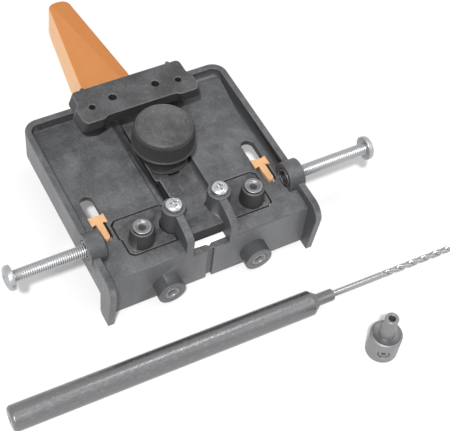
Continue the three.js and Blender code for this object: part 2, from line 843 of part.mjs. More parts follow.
function leverOutline(inset) {
  const tip = leverTip - inset;
  const corner = leverTipRadius - inset / 2;
  const half = leverHalf(tip) - inset;
  const shape = new THREE.Shape();
  shape.moveTo(inset - leverRootHalf, pivotY + inset);
  shape.lineTo(leverRootHalf - inset, pivotY + inset);
  shape.lineTo(leverRootHalf - inset, leverTaperStart);
  shape.lineTo(half, tip - corner);
  shape.quadraticCurveTo(half, tip, 0, tip);
  shape.quadraticCurveTo(-half, tip, -half, tip - corner);
  shape.lineTo(inset - leverRootHalf, leverTaperStart);
  shape.closePath();
  return shape;
}

function makeLever() {
  const height = [leverFloor, leverTop];
  const arm = flared(upright(leverOutline(0), height, 8), height, leverDraft / leverRootHalf, [1, 0]);
  const camZ = pivotZ + camOffset;
  const barrel = rodX(camRadius, [-leverRootHalf, leverRootHalf], [pivotY, camZ], 40);
  const toe = outline([
    [leverTip - leverToe, leverFloor - overrun], [leverTip + overrun, leverFloor - overrun],
    [leverTip + overrun, leverFloor + leverToe], [leverTip - leverToe / 4, leverFloor + leverToe / 3],
  ]);
  const heel = outline([
    [pivotY - overrun, leverFloor - overrun], [leverTaperStart, leverFloor - overrun],
    [leverTaperStart, leverFloor], [pivotY, camZ - camRadius], [pivotY - overrun, camZ - camRadius],
  ]);
  const wide = leverRootHalf + leverDraft + overrun;
  const hollow = upright(leverOutline(leverWall), [leverFloor - overrun, leverTop - leverWall], 8);
  const across = [-wide, wide];
  const rear = block(across, [leverTaperStart + leverWall, leverTip], [leverFloor - overrun, leverTop]);
  const ribY = (leverTaperStart + leverTip) / 2;
  const rib = block(across, [ribY, ribY + leverWall], height);
  const pocket = cut(hollow.intersect(rear), rib);
  const pinBore = rodX(leverPinRadius + gap, across, [pivotY, pivotZ], 20);
  return cut(join(arm, barrel), sideways(toe, across), sideways(heel, across), pocket, pinBore);
}

function makeJaw() {
  const plate = block([-jawHalf, jawHalf], [jawFront, jawRear], [jawFoot, floorBottom - gap]);
  return cut(plate, rodX(guidePinRadius + gap, [-bodyHalf, bodyHalf], [guidePinY, guidePinZ], 20));
}

const makePad = () => (
  block([-jawHalf, jawHalf], [jawFront - gap - padThickness, jawFront - gap], [jawFoot, -gap])
);

// Stop screws

function makeStopInsert(side) {
  const ring = ringSolid([
    [stopScrewRadius + gap, stopBossInner], [stopInsertRadius, stopBossInner],
    [stopInsertRadius, stopBossOuter], [stopScrewRadius + gap, stopBossOuter],
  ], 24).rotateY(side * Math.PI / 2);
  return solidOf(ring.translate(0, stopY, stopZ));
}

// Long drill, laid along its own X from the rear end of the arbor

function makeArbor() {
  const profile = [
    [arborRadius - arborChamfer, 0], [arborRadius, arborChamfer], [arborRadius, arborLength],
    [neckRadius, drillShoulder], [neckRadius, drillMouth - arborChamfer / 2],
    [neckRadius - arborChamfer / 2, drillMouth],
  ];
  const solid = spunAlongX(profile, [0, 0], 36);
  const bore = rodX(bitRadius + gap, [drillMouth - bitSeat - gap, drillMouth + overrun], [0, 0], 16);
  const grubBore = rod(grubRadius + gap, [-arborRadius, 0], [drillShoulder + neckLength / 2, 0], 16);
  const dimple = spunAlongX([[grubRadius, -overrun], [grubRadius, 0], [gap, grubRadius]], [0, 0], 16);
  return cut(solid, bore, grubBore, dimple);
}

function makeBit() {
  const end = drillMouth + bitExposed;
  const profile = [
    [bitRadius, drillMouth - bitSeat], [bitRadius, end - bitPoint], [bitRadius / 4, end],
  ];
  return spunAlongX(profile, [0, 0], 16);
}

function makeArborGrub() {
  return rod(grubRadius, [-neckRadius, -bitRadius - gap], [drillShoulder + neckLength / 2, 0], 12);
}

// Stop collar, standing on its flat end

function makeCollar() {
  const nose = collarHeight + collarNoseHeight;
  const recessFloor = collarHeight - collarRecess;
  const profile = [
    [collarRadius - collarRim / 2, 0], [collarRadius, collarRim / 2],
    [collarRadius, collarHeight - collarRim], [collarRadius - collarRim, collarHeight],
    [collarRecessRadius, collarHeight], [collarRecessRadius - collarRecess, recessFloor],
    [collarNoseBase, recessFloor], [collarNoseBase, collarHeight + collarNoseHeight / 3],
    [collarNoseTop, collarHeight + collarNoseHeight / 2], [collarNoseTop, nose],
  ];
  const bore = rod(collarBore, [-overrun, nose + overrun], [0, 0], 16);
  const grubBore = rodY(collarGrubRadius + gap, [-collarRadius - overrun, 0], [0, collarHeight / 2], 20);
  return cut(spun(profile, [0, 0], 36), bore, grubBore);
}

function makeCollarGrub() {
  const flush = collarRadius - collarRim;
  const slug = rodY(collarGrubRadius, [-flush, -collarBore - gap], [0, collarHeight / 2], 20);
  const socketY = [-collarRadius, collarGrubRadius - flush];
  const socket = rodY(collarGrubRadius / 2, socketY, [0, collarHeight / 2], 6);
  return cut(slug, socket);
}

// Scene graph

const jig = new THREE.Group();

function add(name, solid, finish, parent = jig) {
  const mesh = new THREE.Mesh(geometryOf(solid), new THREE.MeshStandardMaterial(finishes[finish]));
  mesh.name = name;
  parent.add(mesh);
  return mesh;
}

const sideNames = [[-1, "left"], [1, "right"]];

add("body", makeBody(), "nylon");
add("retainer_strip", makeRetainer(), "bushSteel");
add("bridge", makeBridge(), "nylon");
add("pointer_strip", makePointerStrip(), "orange");
const linkScrew = makePanScrew(linkScrewRadius, linkScrewLength, linkHeadRadius, linkHeadHeight);
const link = add("link_screw", linkScrew, "zinc");
link.position.set(barX, linkY, stripBottom - gap);
link.rotation.x = Math.PI;
add("setback_bar", makeBar(), "nylon");
add("clamp_lever", makeLever(), "orange");
const leverPin = rodX(leverPinRadius, [-earOuter, earOuter], [pivotY, pivotZ], 20);
add("lever_pin", leverPin, "zinc");
add("clamp_jaw", makeJaw(), "darkNylon");
add("jaw_pad", makePad(), "rubber");
const guidePin = rodX(guidePinRadius, [-earOuter, earOuter], [guidePinY, guidePinZ], 20);
add("jaw_guide_pin", guidePin, "zinc");

for (const [side, name] of sideNames) {
  add(`bush_carrier_${name}`, makeCarrier(side), "nylon");
  add(`top_bush_${name}`, makeTopBush(side), "bushSteel");
  add(`fence_bush_${name}`, makeFenceBush(side), "bushSteel");
  add(`pointer_${name}`, makePointer(side), "orange");
  add(`stop_insert_${name}`, makeStopInsert(side), "bushSteel");

  const postScrewLength = postTop + gap - retainerBottom;
  const postScrew = makePanScrew(postScrewRadius, postScrewLength, panHeadRadius, panHeadHeight);
  add(`post_screw_${name}`, postScrew, "zinc").position.set(side * postX, postY, postTop + gap);

  const bridgeScrewSeat = deckBottom - gap;
  const bridgeScrew = makePanScrew(bridgeScrewRadius, bridgeScrewLength, panHeadRadius, panHeadHeight);
  const placed = add(`bridge_screw_${name}`, bridgeScrew, "zinc");
  placed.position.set(side * bridgeOuterHoleX, bridgeOuterHoleY, bridgeScrewSeat);
  placed.rotation.x = Math.PI;

  const stopScrew = makePanScrew(stopScrewRadius, stopScrewLength, stopHeadRadius, stopHeadHeight);
  const stop = add(`stop_screw_${name}`, stopScrew, "zinc");
  const stopReach = side > 0 ? stopScrewReach + stopRightFurther : stopScrewReach;
  stop.position.set(side * (bodyHalf + stopReach), stopY, stopZ);
  stop.rotation.y = side * Math.PI / 2;
}

const knobGroup = new THREE.Group();
knobGroup.position.set(knobX, knobY, 0);
jig.add(knobGroup);
add("locking_knob", makeKnob(), "darkNylon", knobGroup);
add("knob_washer", makeWasher(), "blackSteel", knobGroup);
add("knob_stud", makeStud(), "zinc", knobGroup);
add("clamp_nut", makeNut(), "bushSteel", knobGroup);

const drillGroup = new THREE.Group();
drillGroup.position.set(drillX, drillY, standZ + arborRadius);
drillGroup.rotation.z = THREE.MathUtils.degToRad(drillTurn);
jig.add(drillGroup);
add("drill_arbor", makeArbor(), "blackSteel", drillGroup);
add("drill_bit", makeBit(), "zinc", drillGroup);
add("arbor_grub_screw", makeArborGrub(), "blackSteel", drillGroup);

const collarGroup = new THREE.Group();
collarGroup.position.set(collarX, collarY, standZ);
collarGroup.rotation.z = THREE.MathUtils.degToRad(collarTurn);
jig.add(collarGroup);
add("stop_collar", makeCollar(), "blackSteel", collarGroup);
add("collar_grub_screw", makeCollarGrub(), "blackSteel", collarGroup);

export default jig;
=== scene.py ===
# Blender 4.5 scene for a hinge plate drilling jig, with its long drill and its stop collar.
# Metres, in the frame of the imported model: X = 0 is the middle of the jig, Y = 0 the fence
# face, Z = 0 the seat under its side walls, and +Z is up.

import json
import math

import bmesh
import bpy
import numpy as np
from bpy.props import FloatProperty, FloatVectorProperty, IntProperty, PointerProperty
from mathutils import Matrix, Vector


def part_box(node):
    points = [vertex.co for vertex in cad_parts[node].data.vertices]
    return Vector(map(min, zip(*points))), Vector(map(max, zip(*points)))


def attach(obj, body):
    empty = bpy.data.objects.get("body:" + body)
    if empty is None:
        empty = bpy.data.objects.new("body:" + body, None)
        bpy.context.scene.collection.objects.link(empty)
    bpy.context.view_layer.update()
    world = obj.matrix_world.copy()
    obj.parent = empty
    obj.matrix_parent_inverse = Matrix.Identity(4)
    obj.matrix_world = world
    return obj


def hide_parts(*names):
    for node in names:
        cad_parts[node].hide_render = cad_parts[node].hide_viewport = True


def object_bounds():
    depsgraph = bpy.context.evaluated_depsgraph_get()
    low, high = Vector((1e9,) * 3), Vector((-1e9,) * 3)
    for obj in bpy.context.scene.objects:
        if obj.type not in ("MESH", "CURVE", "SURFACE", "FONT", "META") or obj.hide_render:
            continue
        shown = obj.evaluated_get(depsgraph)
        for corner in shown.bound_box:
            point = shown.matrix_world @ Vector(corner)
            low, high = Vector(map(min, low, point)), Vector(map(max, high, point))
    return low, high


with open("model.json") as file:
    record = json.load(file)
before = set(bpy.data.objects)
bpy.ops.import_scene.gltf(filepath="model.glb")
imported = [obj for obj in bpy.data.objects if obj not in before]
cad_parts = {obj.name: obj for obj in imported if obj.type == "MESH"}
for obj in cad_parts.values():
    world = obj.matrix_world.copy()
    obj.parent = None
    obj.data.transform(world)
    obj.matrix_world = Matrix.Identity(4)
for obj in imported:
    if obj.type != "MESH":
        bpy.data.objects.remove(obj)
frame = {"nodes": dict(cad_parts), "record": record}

bl_info = {
    "name": "Hinge plate drilling jig",
    "version": (1, 0, 0),
    "blender": (4, 5, 0),
    "location": "View3D > Sidebar > Jig",
    "description": "Dresses the drilling jig with its surfaces, threads, finishes and studio",
    "category": "Object",
}

MM = 0.001
UP = Vector((0, 0, 1))
SIDES = ("left", "right")

CAD_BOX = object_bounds()
RECORD = frame["record"]
NODE_BODY = {node: body for body, nodes in RECORD["behaviour"]["bodies"].items() for node in nodes}

# Points closer than WELD are merged, and faces within FLAT degrees of each other are joined.
WELD = 0.002 * MM
FLAT = 0.6

# From the front of the body back to the front face of the fence, and the Y in the middle of the fence.
FENCE_STEP = 6.4 * MM
FENCE_MIDDLE = -3 * MM

# The outer side walls lie within this distance of the body's widest points.
WALL_BAND = 1.5 * MM

# How far the pointers stand above the deck.
POINTER_RISE = 1.5 * MM

# A point on the line where the painted shade of a right facet on the lever's top begins, and the way across
# that line.
FACET_SHADE_POINT = (-0.001, 0.128)
FACET_SHADE_ACROSS = (0.982, 0.190)

# Radius of the bushes' bores, and how much wider in radius each bush is than its CAD node, to fill
# the clearance round it.
BUSH_BORE = 1.35 * MM
BUSH_FIT = 0.27 * MM

# Heights of the knob's shoulder and of the bead round its lip.
KNOB_SHOULDER = 1.4 * MM
KNOB_BEAD = 0.45 * MM

# Size of the photograph, the point that the camera is placed by, the pixel where it is seen, and the
# width of the camera's sensor in millimetres.
PIXELS = (450, 431)
ANCHOR = Vector((0, -0.003, -0.0114))
ANCHOR_PIXEL = (208.26, 275.93)
SENSOR = 36

# Each lamp: degrees to the right of the front, degrees above the horizon, distance and width in metres.
LAMPS = {
    "flash": (-37, 58, 2.5, 0.16),
    "key": (-60, 28, 1.8, 0.9),
    "fill": (60, 35, 2.0, 1.2),
    "top": (98, 70, 2.0, 0.4),
}


# Sizes and colours that a user would change

def millimetres(name, description, value):
    """A length property, given in millimetres and kept in metres."""
    return FloatProperty(name=name, description=description, default=value * MM, min=0, unit="LENGTH")


def share(name, description, value, top=1.0):
    """A property between nothing and a top value."""
    return FloatProperty(name=name, description=description, default=value, min=0, max=top, subtype="FACTOR")


def colour(name, description, value):
    """A linear colour property."""
    return FloatVectorProperty(
        name=name, description=description, default=value, size=3, min=0, max=1, subtype="COLOR"
    )


class JigColours(bpy.types.PropertyGroup):
    nylon_deep: colour("Body nylon", "Sides of the body, with a trace of dust", (0.062, 0.063, 0.066))
    nylon_dark: colour("Clean nylon", "Sides of the smaller mouldings", (0.034, 0.033, 0.034))
    nylon_dusty: colour("Dusty nylon", "Moulded nylon under its film of dust", (0.168, 0.171, 0.180))
    # Lighter nylon: painted light on the outer walls, and wear with painted highlight on the rounded edges.
    nylon_lit_and_worn: colour("Rubbed nylon", "Outer walls and edges, rubbed by handling", (0.168, 0.171, 0.178))
    orange: colour("Orange plastic", "Clamp lever and pointer strip", (0.590, 0.231, 0.066))
    orange_shade: colour("Orange shade", "Darker streaks in the orange plastic", (0.548, 0.208, 0.056))
    # Painted shade on the lever's top, standing for a facet that its flat top doesn't have.
    orange_facet_shade: colour("Orange facet", "Facet on the right of the lever's top", (0.525, 0.190, 0.047))
    # Lighter orange: painted light on left-facing sides, and streaks in the pointers.
    orange_lit_and_pale: colour("Pale orange", "Bleached left sides and pointer streaks", (0.820, 0.460, 0.225))
    pointer: colour("Pointer orange", "Faded orange of the pointers", (0.740, 0.430, 0.215))
    # Painted shade on the pointers where they lie down in their slots.
    foot_shade: colour("Pointer foot", "Greyed plastic down in the pointers' slots", (0.300, 0.270, 0.235))
    knob_band: colour("Knob band", "Greasy side of the locking knob", (0.038, 0.036, 0.035))
    bore: colour("Bush bore", "Dull wall of the bushes' bores", (0.20, 0.20, 0.20))
    bush: colour("Bush steel", "Bushes, inserts, retainer strip and nut", (0.26, 0.26, 0.27))
    zinc: colour("Zinc plate", "Small screws, pins and the knob's stud", (0.52, 0.525, 0.535))
    stop_zinc: colour("Stop screws", "Thinner plate on the side stops", (0.42, 0.425, 0.435))
    drill: colour("Drill steel", "Ground twist drill", (0.36, 0.37, 0.38))
    black_oxide: colour("Black oxide", "Drill arbor and its grub screw", (0.190, 0.191, 0.195))
    collar: colour("Collar steel", "Stop collar and its grub screw", (0.240, 0.241, 0.246))
    scratch: colour("Scratches", "Steel that shows through the black", (0.62, 0.62, 0.63))
    rubber: colour("Rubber", "Pad of the clamp jaw", (0.020, 0.020, 0.021))


class JigFinish(bpy.types.PropertyGroup):
    body_round: millimetres("Body rounding", "Round on the edges of the moulded body", 0.25)
    edge_round: millimetres("Edge rounding", "Round on the edges of the smaller mouldings", 0.3)
    lever_round: millimetres("Lever rounding", "Round on the edges of the clamp lever", 0.9)
    metal_round: millimetres("Metal rounding", "Round on the edges of metal pieces and strips", 0.15)
    arbor_round: millimetres("Arbor rounding", "Round on the edges of the drill arbor", 0.25)
    collar_round: millimetres("Collar rounding", "Round on the edges of the stop collar", 0.2)
    mottle: millimetres("Mottle size", "Size of the dusty patches", 11)
    grain: millimetres("Grain size", "Size of the moulded grain", 0.5)
    dust: share("Dust", "How much of the up-facing nylon is dusty", 0.9)


class JigScrews(bpy.types.PropertyGroup):
    stop_pitch: millimetres("Stop screw pitch", "Thread pitch of the side stops", 0.8)
    stop_depth: millimetres("Stop thread depth", "Depth of the thread of the side stops", 0.3)
    small_pitch: millimetres("Small screw pitch", "Thread pitch of the small screws", 1.1)
    small_depth: millimetres("Small thread depth", "Depth of the thread of the small screws", 0.25)
    stop_shank: millimetres("Stop screw radius", "Outer radius of the side stops' thread", 2.4)
    small_shank: millimetres("Small screw radius", "Outer radius of the small screws' thread", 1.5)
    link_shank: millimetres("Link screw radius", "Outer radius of the link screw's thread", 1.25)
    stop_head: millimetres("Stop screw head", "Height of the side stops' heads", 3)
    small_head: millimetres("Small screw head", "Height of the small screws' heads", 2.2)
    link_head: millimetres("Link screw head", "Height of the link screw's head", 1.4)
    recess_arm: share("Recess arm", "Half width of the cross recess, as a share of the head", 0.10)
    recess_reach: share("Recess reach", "Reach of the cross recess, as a share of the head", 0.56)
    recess_depth: share("Recess depth", "Depth of the cross recess, as a share of the head's height", 0.34)


class JigKnob(bpy.types.PropertyGroup):
    ridges: IntProperty(name="Ridges", description="Ridges round the knob", default=100, min=12)
    ridge_depth: millimetres("Ridge depth", "Depth of the ridges", 0.3)
    groove_depth: millimetres("Groove depth", "Depth of the ring groove in the top", 0.35)
    flare: millimetres("Flare", "How far the band widens down to its lip", 0.7)
    skirt: millimetres("Skirt", "From the top down to the band's lip", 8.6)


class JigDrill(bpy.types.PropertyGroup):
    lead: millimetres("Flute lead", "Length of one turn of the drill's flutes", 11)
    fluted: millimetres("Flute length", "Length of the fluted part", 32)
    flute_depth: share("Flute depth", "Depth of the flutes, as a share of the radius", 0.62)


class JigStage(bpy.types.PropertyGroup):
    azimuth: FloatProperty(name="Azimuth", description="Degrees to the left of the front", default=34.11)
    pitch: FloatProperty(name="Pitch", description="Degrees above the horizon", default=52.77)
    roll: FloatProperty(name="Roll", description="Degrees of roll", default=7.97)
    focal: FloatProperty(name="Focal length", description="Focal length in pixels", default=1161.81)
    distance: millimetres("Distance", "From the camera to the anchor point", 434.8)
    floor_half: millimetres("Floor", "Half the side of the floor", 3000)
    floor_lift: share("Floor lift", "Light that the camera sees added to the floor", 0.16)
    further_lift: share("Further lift", "More of it, far off and under the body", 0.75)
    flash_level: share("Flash level", "Brightness of a white card that faces the lamp by the camera", 0.82, 4)
    key_level: share("Key level", "Brightness of a white card that faces the key lamp", 0.24, 4)
    fill_level: share("Fill level", "Brightness of a white card that faces the fill lamp", 0.13, 4)
    top_level: share("Top level", "Brightness of a white card that faces the top lamp", 0.1, 4)
    sky_level: share("Sky level", "Brightness of the even light from all round", 0.3, 4)


def colours():
    return bpy.context.scene.jig_colours


def finish():
    return bpy.context.scene.jig_finish


# Node helpers

def feed(tree, socket, value):
    """Links a socket to another one, or sets its value."""
    if isinstance(value, bpy.types.NodeSocket):
        tree.links.new(value, socket)
    else:
        socket.default_value = value


def node(tree, kind, inputs=None, **settings):
    """A node with its settings, and with each named input linked or set."""
    made = tree.nodes.new(kind)
    for key, value in settings.items():
        setattr(made, key, value)
    for key, value in (inputs or {}).items():
        feed(tree, made.inputs[key], value)
    return made


def math_node(tree, operation, first, second=0.0):
    return node(tree, "ShaderNodeMath", {0: first, 1: second}, operation=operation).outputs[0]


def product(tree, first, second):
    return math_node(tree, "MULTIPLY", first, second)


def ramp(tree, value, low, high, to_low=0.0, to_high=1.0):
    """A smooth step of a value between two limits."""
    made = node(tree, "ShaderNodeMapRange", {
        "Value": value, "From Min": low, "From Max": high, "To Min": to_low, "To Max": to_high,
    }, interpolation_type="SMOOTHSTEP")
    return made.outputs["Result"]


def mixed(tree, factor, first, second):
    """A colour between two others."""
    return node(tree, "ShaderNodeMix", {0: factor, 6: first, 7: second}, data_type="RGBA").outputs[2]


def noise(tree, vector, scale, detail, roughness, distortion=0.0):
    made = node(tree, "ShaderNodeTexNoise", {
        "Vector": vector, "Scale": scale, "Detail": detail, "Roughness": roughness, "Distortion": distortion,
    })
    return made.outputs["Fac"]


def scaled(tree, vector, factors):
    """A vector with each of its parts multiplied."""
    return node(tree, "ShaderNodeVectorMath", {0: vector, 1: factors}, operation="MULTIPLY").outputs["Vector"]


def object_point(tree):
    """The point of the piece that is shaded, in the frame of the model."""
    return node(tree, "ShaderNodeTexCoord").outputs["Object"]


def parts_of(tree, output):
    """X, Y and Z of the piece's point, for Object, or of its normal, for Normal."""
    vector = node(tree, "ShaderNodeTexCoord").outputs[output]
    return node(tree, "ShaderNodeSeparateXYZ", {"Vector": vector}).outputs


def group(name, inputs, outputs):
    """An empty shader group with named sockets, and its input and output nodes."""
    tree = bpy.data.node_groups.new(name, "ShaderNodeTree")
    for socket, (kind, value) in inputs.items():
        made = tree.interface.new_socket(name=socket, in_out="INPUT", socket_type="NodeSocket" + kind)
        made.default_value = value
    for socket, kind in outputs.items():
        tree.interface.new_socket(name=socket, in_out="OUTPUT", socket_type="NodeSocket" + kind)
    return tree, tree.nodes.new("NodeGroupInput"), tree.nodes.new("NodeGroupOutput")


def opaque(value):
    return (*value, 1.0)


# Shader groups shared by several materials

def moulded_group():
    """Moulded plastic: its own colour on its sides, a mottled film of dust on what faces up, and a lighter
    colour mixed in as painted light and wear.

    The film is dust on level faces * (large clouds + smaller smears), and fine grain specks it all."""
    if "moulded surface" in bpy.data.node_groups:
        return bpy.data.node_groups["moulded surface"]
    tree, given, result = group("moulded surface", {
        "Deep": ("Color", (0, 0, 0, 1)), "Dusty": ("Color", (0, 0, 0, 1)), "Outer": ("Color", (0, 0, 0, 1)),
        "Lit and worn share": ("Float", 0.0), "Dust": ("Float", 1.0),
        "Mottle": ("Float", 100.0), "Grain": ("Float", 2000.0),
    }, {"Color": "Color", "Roughness": "Float", "Height": "Float"})
    point = object_point(tree)
    # The Z of a face's normal is 1 where it is level, and dust lies on slopes of up to 57 degrees.
    level = ramp(tree, parts_of(tree, "Normal")["Z"], 0.55, 0.95)
    settled = product(tree, level, given.outputs["Dust"])
    patches = noise(tree, point, given.outputs["Mottle"], detail=7, roughness=0.68)
    clouds = ramp(tree, patches, 0.36, 0.66, to_low=0.14, to_high=0.74)
    smear_scale = product(tree, given.outputs["Mottle"], 3.1)
    streaks = noise(tree, point, smear_scale, detail=6, roughness=0.72, distortion=1.4)
    smears = ramp(tree, streaks, 0.50, 0.66, to_low=0.0, to_high=0.36)
    film = product(tree, settled, math_node(tree, "ADD", clouds, smears))
    base = mixed(tree, film, given.outputs["Deep"], given.outputs["Dusty"])
    # The lighter colour goes on by share: painted light on the outer walls, and wear with painted highlight
    # on the edges.
    rubbed = mixed(tree, given.outputs["Lit and worn share"], base, given.outputs["Outer"])
    fine = noise(tree, point, given.outputs["Grain"], detail=3, roughness=0.6)
    specks = ramp(tree, fine, 0.30, 0.72, to_low=0.80, to_high=1.20)
    tree.links.new(scaled(tree, rubbed, specks), result.inputs["Color"])
    tree.links.new(ramp(tree, film, 0.2, 1, to_low=0.46, to_high=0.72), result.inputs["Roughness"])
    tree.links.new(fine, result.inputs["Height"])
    return tree


def scratched_group():
    """Worked metal: lines of wear drawn out one way and broken by blotches, as a mask and a height."""
    if "scratched metal" in bpy.data.node_groups:
        return bpy.data.node_groups["scratched metal"]
    tree, given, result = group("scratched metal", {
        "Along": ("Vector", (1, 1, 1)), "Scale": ("Float", 300.0), "Amount": ("Float", 0.3),
    }, {"Mask": "Float", "Height": "Float"})
    point = object_point(tree)
    drawn_out = scaled(tree, point, given.outputs["Along"])
    lines = noise(tree, drawn_out, given.outputs["Scale"], detail=5, roughness=0.65)
    blotch = noise(tree, point, product(tree, given.outputs["Scale"], 0.35), detail=4, roughness=0.6)
    both = product(tree, ramp(tree, lines, 0.52, 0.70), ramp(tree, blotch, 0.40, 0.62))
    tree.links.new(product(tree, both, given.outputs["Amount"]), result.inputs["Mask"])
    tree.links.new(lines, result.inputs["Height"])
    return tree


# Materials

def empty_tree(owner):
    """The node tree of a new material or world, with its nodes taken out."""
    owner.use_nodes = True
    owner.node_tree.nodes.clear()
    return owner.node_tree


def material(name):
    """A new material with its tree, and with a Principled shader linked to its output."""
    made = bpy.data.materials.new(name)
    tree = empty_tree(made)
    shader = node(tree, "ShaderNodeBsdfPrincipled")
    node(tree, "ShaderNodeOutputMaterial", {"Surface": shader.outputs["BSDF"]})
    return made, tree, shader


def bump(tree, shader, height, strength, distance):
    made = node(tree, "ShaderNodeBump", {"Height": height, "Strength": strength, "Distance": distance})
    tree.links.new(made.outputs["Normal"], shader.inputs["Normal"])


def nylon(name, sides, dust_share=1.0, lit_and_worn=0.0, dusty=None):
    """Glass-filled nylon with dust on top, and the given colour on its sides.

    The lighter colour is taken by a share, for edges painted with wear and highlight, or by a function that
    makes the mask of painted light on the outer walls.
    dusty is a function that makes the mask of where dust can lie."""
    if name in bpy.data.materials:
        return bpy.data.materials[name]
    made, tree, shader = material(name)
    dust = finish().dust * dust_share
    surface = node(tree, "ShaderNodeGroup", {
        "Deep": opaque(sides),
        "Dusty": opaque(colours().nylon_dusty),
        "Outer": opaque(colours().nylon_lit_and_worn),
        "Lit and worn share": lit_and_worn(tree) if callable(lit_and_worn) else lit_and_worn,
        "Dust": product(tree, dusty(tree), dust) if dusty else dust,
        "Mottle": 1 / finish().mottle,
        "Grain": 1 / finish().grain,
    }, node_tree=moulded_group())
    tree.links.new(surface.outputs["Color"], shader.inputs["Base Color"])
    tree.links.new(surface.outputs["Roughness"], shader.inputs["Roughness"])
    shader.inputs["IOR"].default_value = 1.45
    bump(tree, shader, surface.outputs["Height"], strength=0.25, distance=0.12 * MM)
    return made


def lit_outer_walls(tree):
    """Mask of painted light on the body's outer faces, at the front of the fence and at both sides, made
    patchy by noise.
    """
    point = parts_of(tree, "Object")
    normal = parts_of(tree, "Normal")
    low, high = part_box("body")
    fence_front = low.y + FENCE_STEP
    in_front = ramp(tree, product(tree, point["Y"], -1), -fence_front - MM, -fence_front)
    faces_front = ramp(tree, product(tree, normal["Y"], -1), 0.6, 0.9)
    from_middle = math_node(tree, "ABSOLUTE", point["X"])
    at_side = ramp(tree, from_middle, high.x - WALL_BAND - 0.5 * MM, high.x - WALL_BAND)
    faces_side = ramp(tree, math_node(tree, "ABSOLUTE", normal["X"]), 0.6, 0.9)
    front = product(tree, in_front, faces_front)
    side = product(tree, at_side, faces_side)
    upright = scaled(tree, object_point(tree), (1, 1, 0.25))
    patchiness = noise(tree, upright, 60, detail=5, roughness=0.6)
    # The mask is painted light, made patchy by this noise.
    wear = ramp(tree, patchiness, 0.3, 0.7, to_low=0.5, to_high=1.0)
    return product(tree, math_node(tree, "MAXIMUM", front, side), wear)


def knob_top(tree):
    """Mask of the knob's top."""
    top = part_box("locking_knob")[1].z
    return ramp(tree, parts_of(tree, "Object")["Z"], top - 2 * MM, top - MM)


def behind_fence(tree):
    """Mask of all that lies behind the middle of the fence."""
    soft = 0.2 * MM
    return ramp(tree, parts_of(tree, "Object")["Y"], FENCE_MIDDLE - soft, FENCE_MIDDLE + soft)


def lever_facet_shade(tree):
    """Mask of painted shade on the lever's flat top, to the right of a line that runs from its tip down to
    its right side.
    """
    soft = 0.3 * MM
    across = node(tree, "ShaderNodeVectorMath", {
        0: object_point(tree), 1: (*FACET_SHADE_ACROSS, 0),
    }, operation="DOT_PRODUCT").outputs["Value"]
    offset = FACET_SHADE_POINT[0] * FACET_SHADE_ACROSS[0] + FACET_SHADE_POINT[1] * FACET_SHADE_ACROSS[1]
    beyond = ramp(tree, across, offset - soft, offset + soft)
    faces_up = ramp(tree, parts_of(tree, "Normal")["Z"], 0.7, 0.9)
    lever_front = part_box("clamp_lever")[0].y
    on_lever = ramp(tree, parts_of(tree, "Object")["Y"], lever_front, lever_front + MM)
    return product(tree, product(tree, faces_up, on_lever), beyond)


def orange_plastic():
    """Satin orange plastic with faint flow streaks, painted lighter where it faces left as lit from that
    side, and with painted shade on a facet of the lever's top.
    """
    if "orange plastic" in bpy.data.materials:
        return bpy.data.materials["orange plastic"]
    made, tree, shader = material("orange plastic")
    point = object_point(tree)
    flow = noise(tree, scaled(tree, point, (1, 0.3, 1)), 90, detail=5, roughness=0.6)
    streaks = ramp(tree, flow, 0.35, 0.7)
    base = mixed(tree, streaks, opaque(colours().orange), opaque(colours().orange_shade))
    # Painted shade to the right of the facet line on the lever's top.
    base = mixed(tree, lever_facet_shade(tree), base, opaque(colours().orange_facet_shade))
    # Faces turned left are painted lighter, as lit from that side.
    lit_from_left = ramp(tree, product(tree, parts_of(tree, "Normal")["X"], -1), 0.5, 0.9)
    base = mixed(tree, lit_from_left, base, opaque(colours().orange_lit_and_pale))
    tree.links.new(base, shader.inputs["Base Color"])
    grain = noise(tree, point, 1 / finish().grain, detail=2, roughness=0.5)
    tree.links.new(ramp(tree, grain, 0.3, 0.7, to_low=0.42, to_high=0.5), shader.inputs["Roughness"])
    bump(tree, shader, grain, strength=0.12, distance=0.06 * MM)
    return made


def pointer_plastic():
    """Faded orange plastic, painted greyer as shade down in its slot, below the deck's top."""
    if "pointer plastic" in bpy.data.materials:
        return bpy.data.materials["pointer plastic"]
    made, tree, shader = material("pointer plastic")
    point = object_point(tree)
    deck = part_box("pointer_left")[1].z - POINTER_RISE
    # Below the deck's top the pointer takes the painted shade colour.
    above = ramp(tree, parts_of(tree, "Object")["Z"], deck - 0.3 * MM, deck)
    streaks = ramp(tree, noise(tree, point, 260, detail=4, roughness=0.6), 0.35, 0.7)
    orange = mixed(tree, streaks, opaque(colours().pointer), opaque(colours().orange_lit_and_pale))
    tree.links.new(mixed(tree, above, opaque(colours().foot_shade), orange), shader.inputs["Base Color"])
    shader.inputs["Roughness"].default_value = 0.5
    grain = noise(tree, point, 1 / finish().grain, detail=2, roughness=0.5)
    bump(tree, shader, grain, strength=0.12, distance=0.06 * MM)
    return made


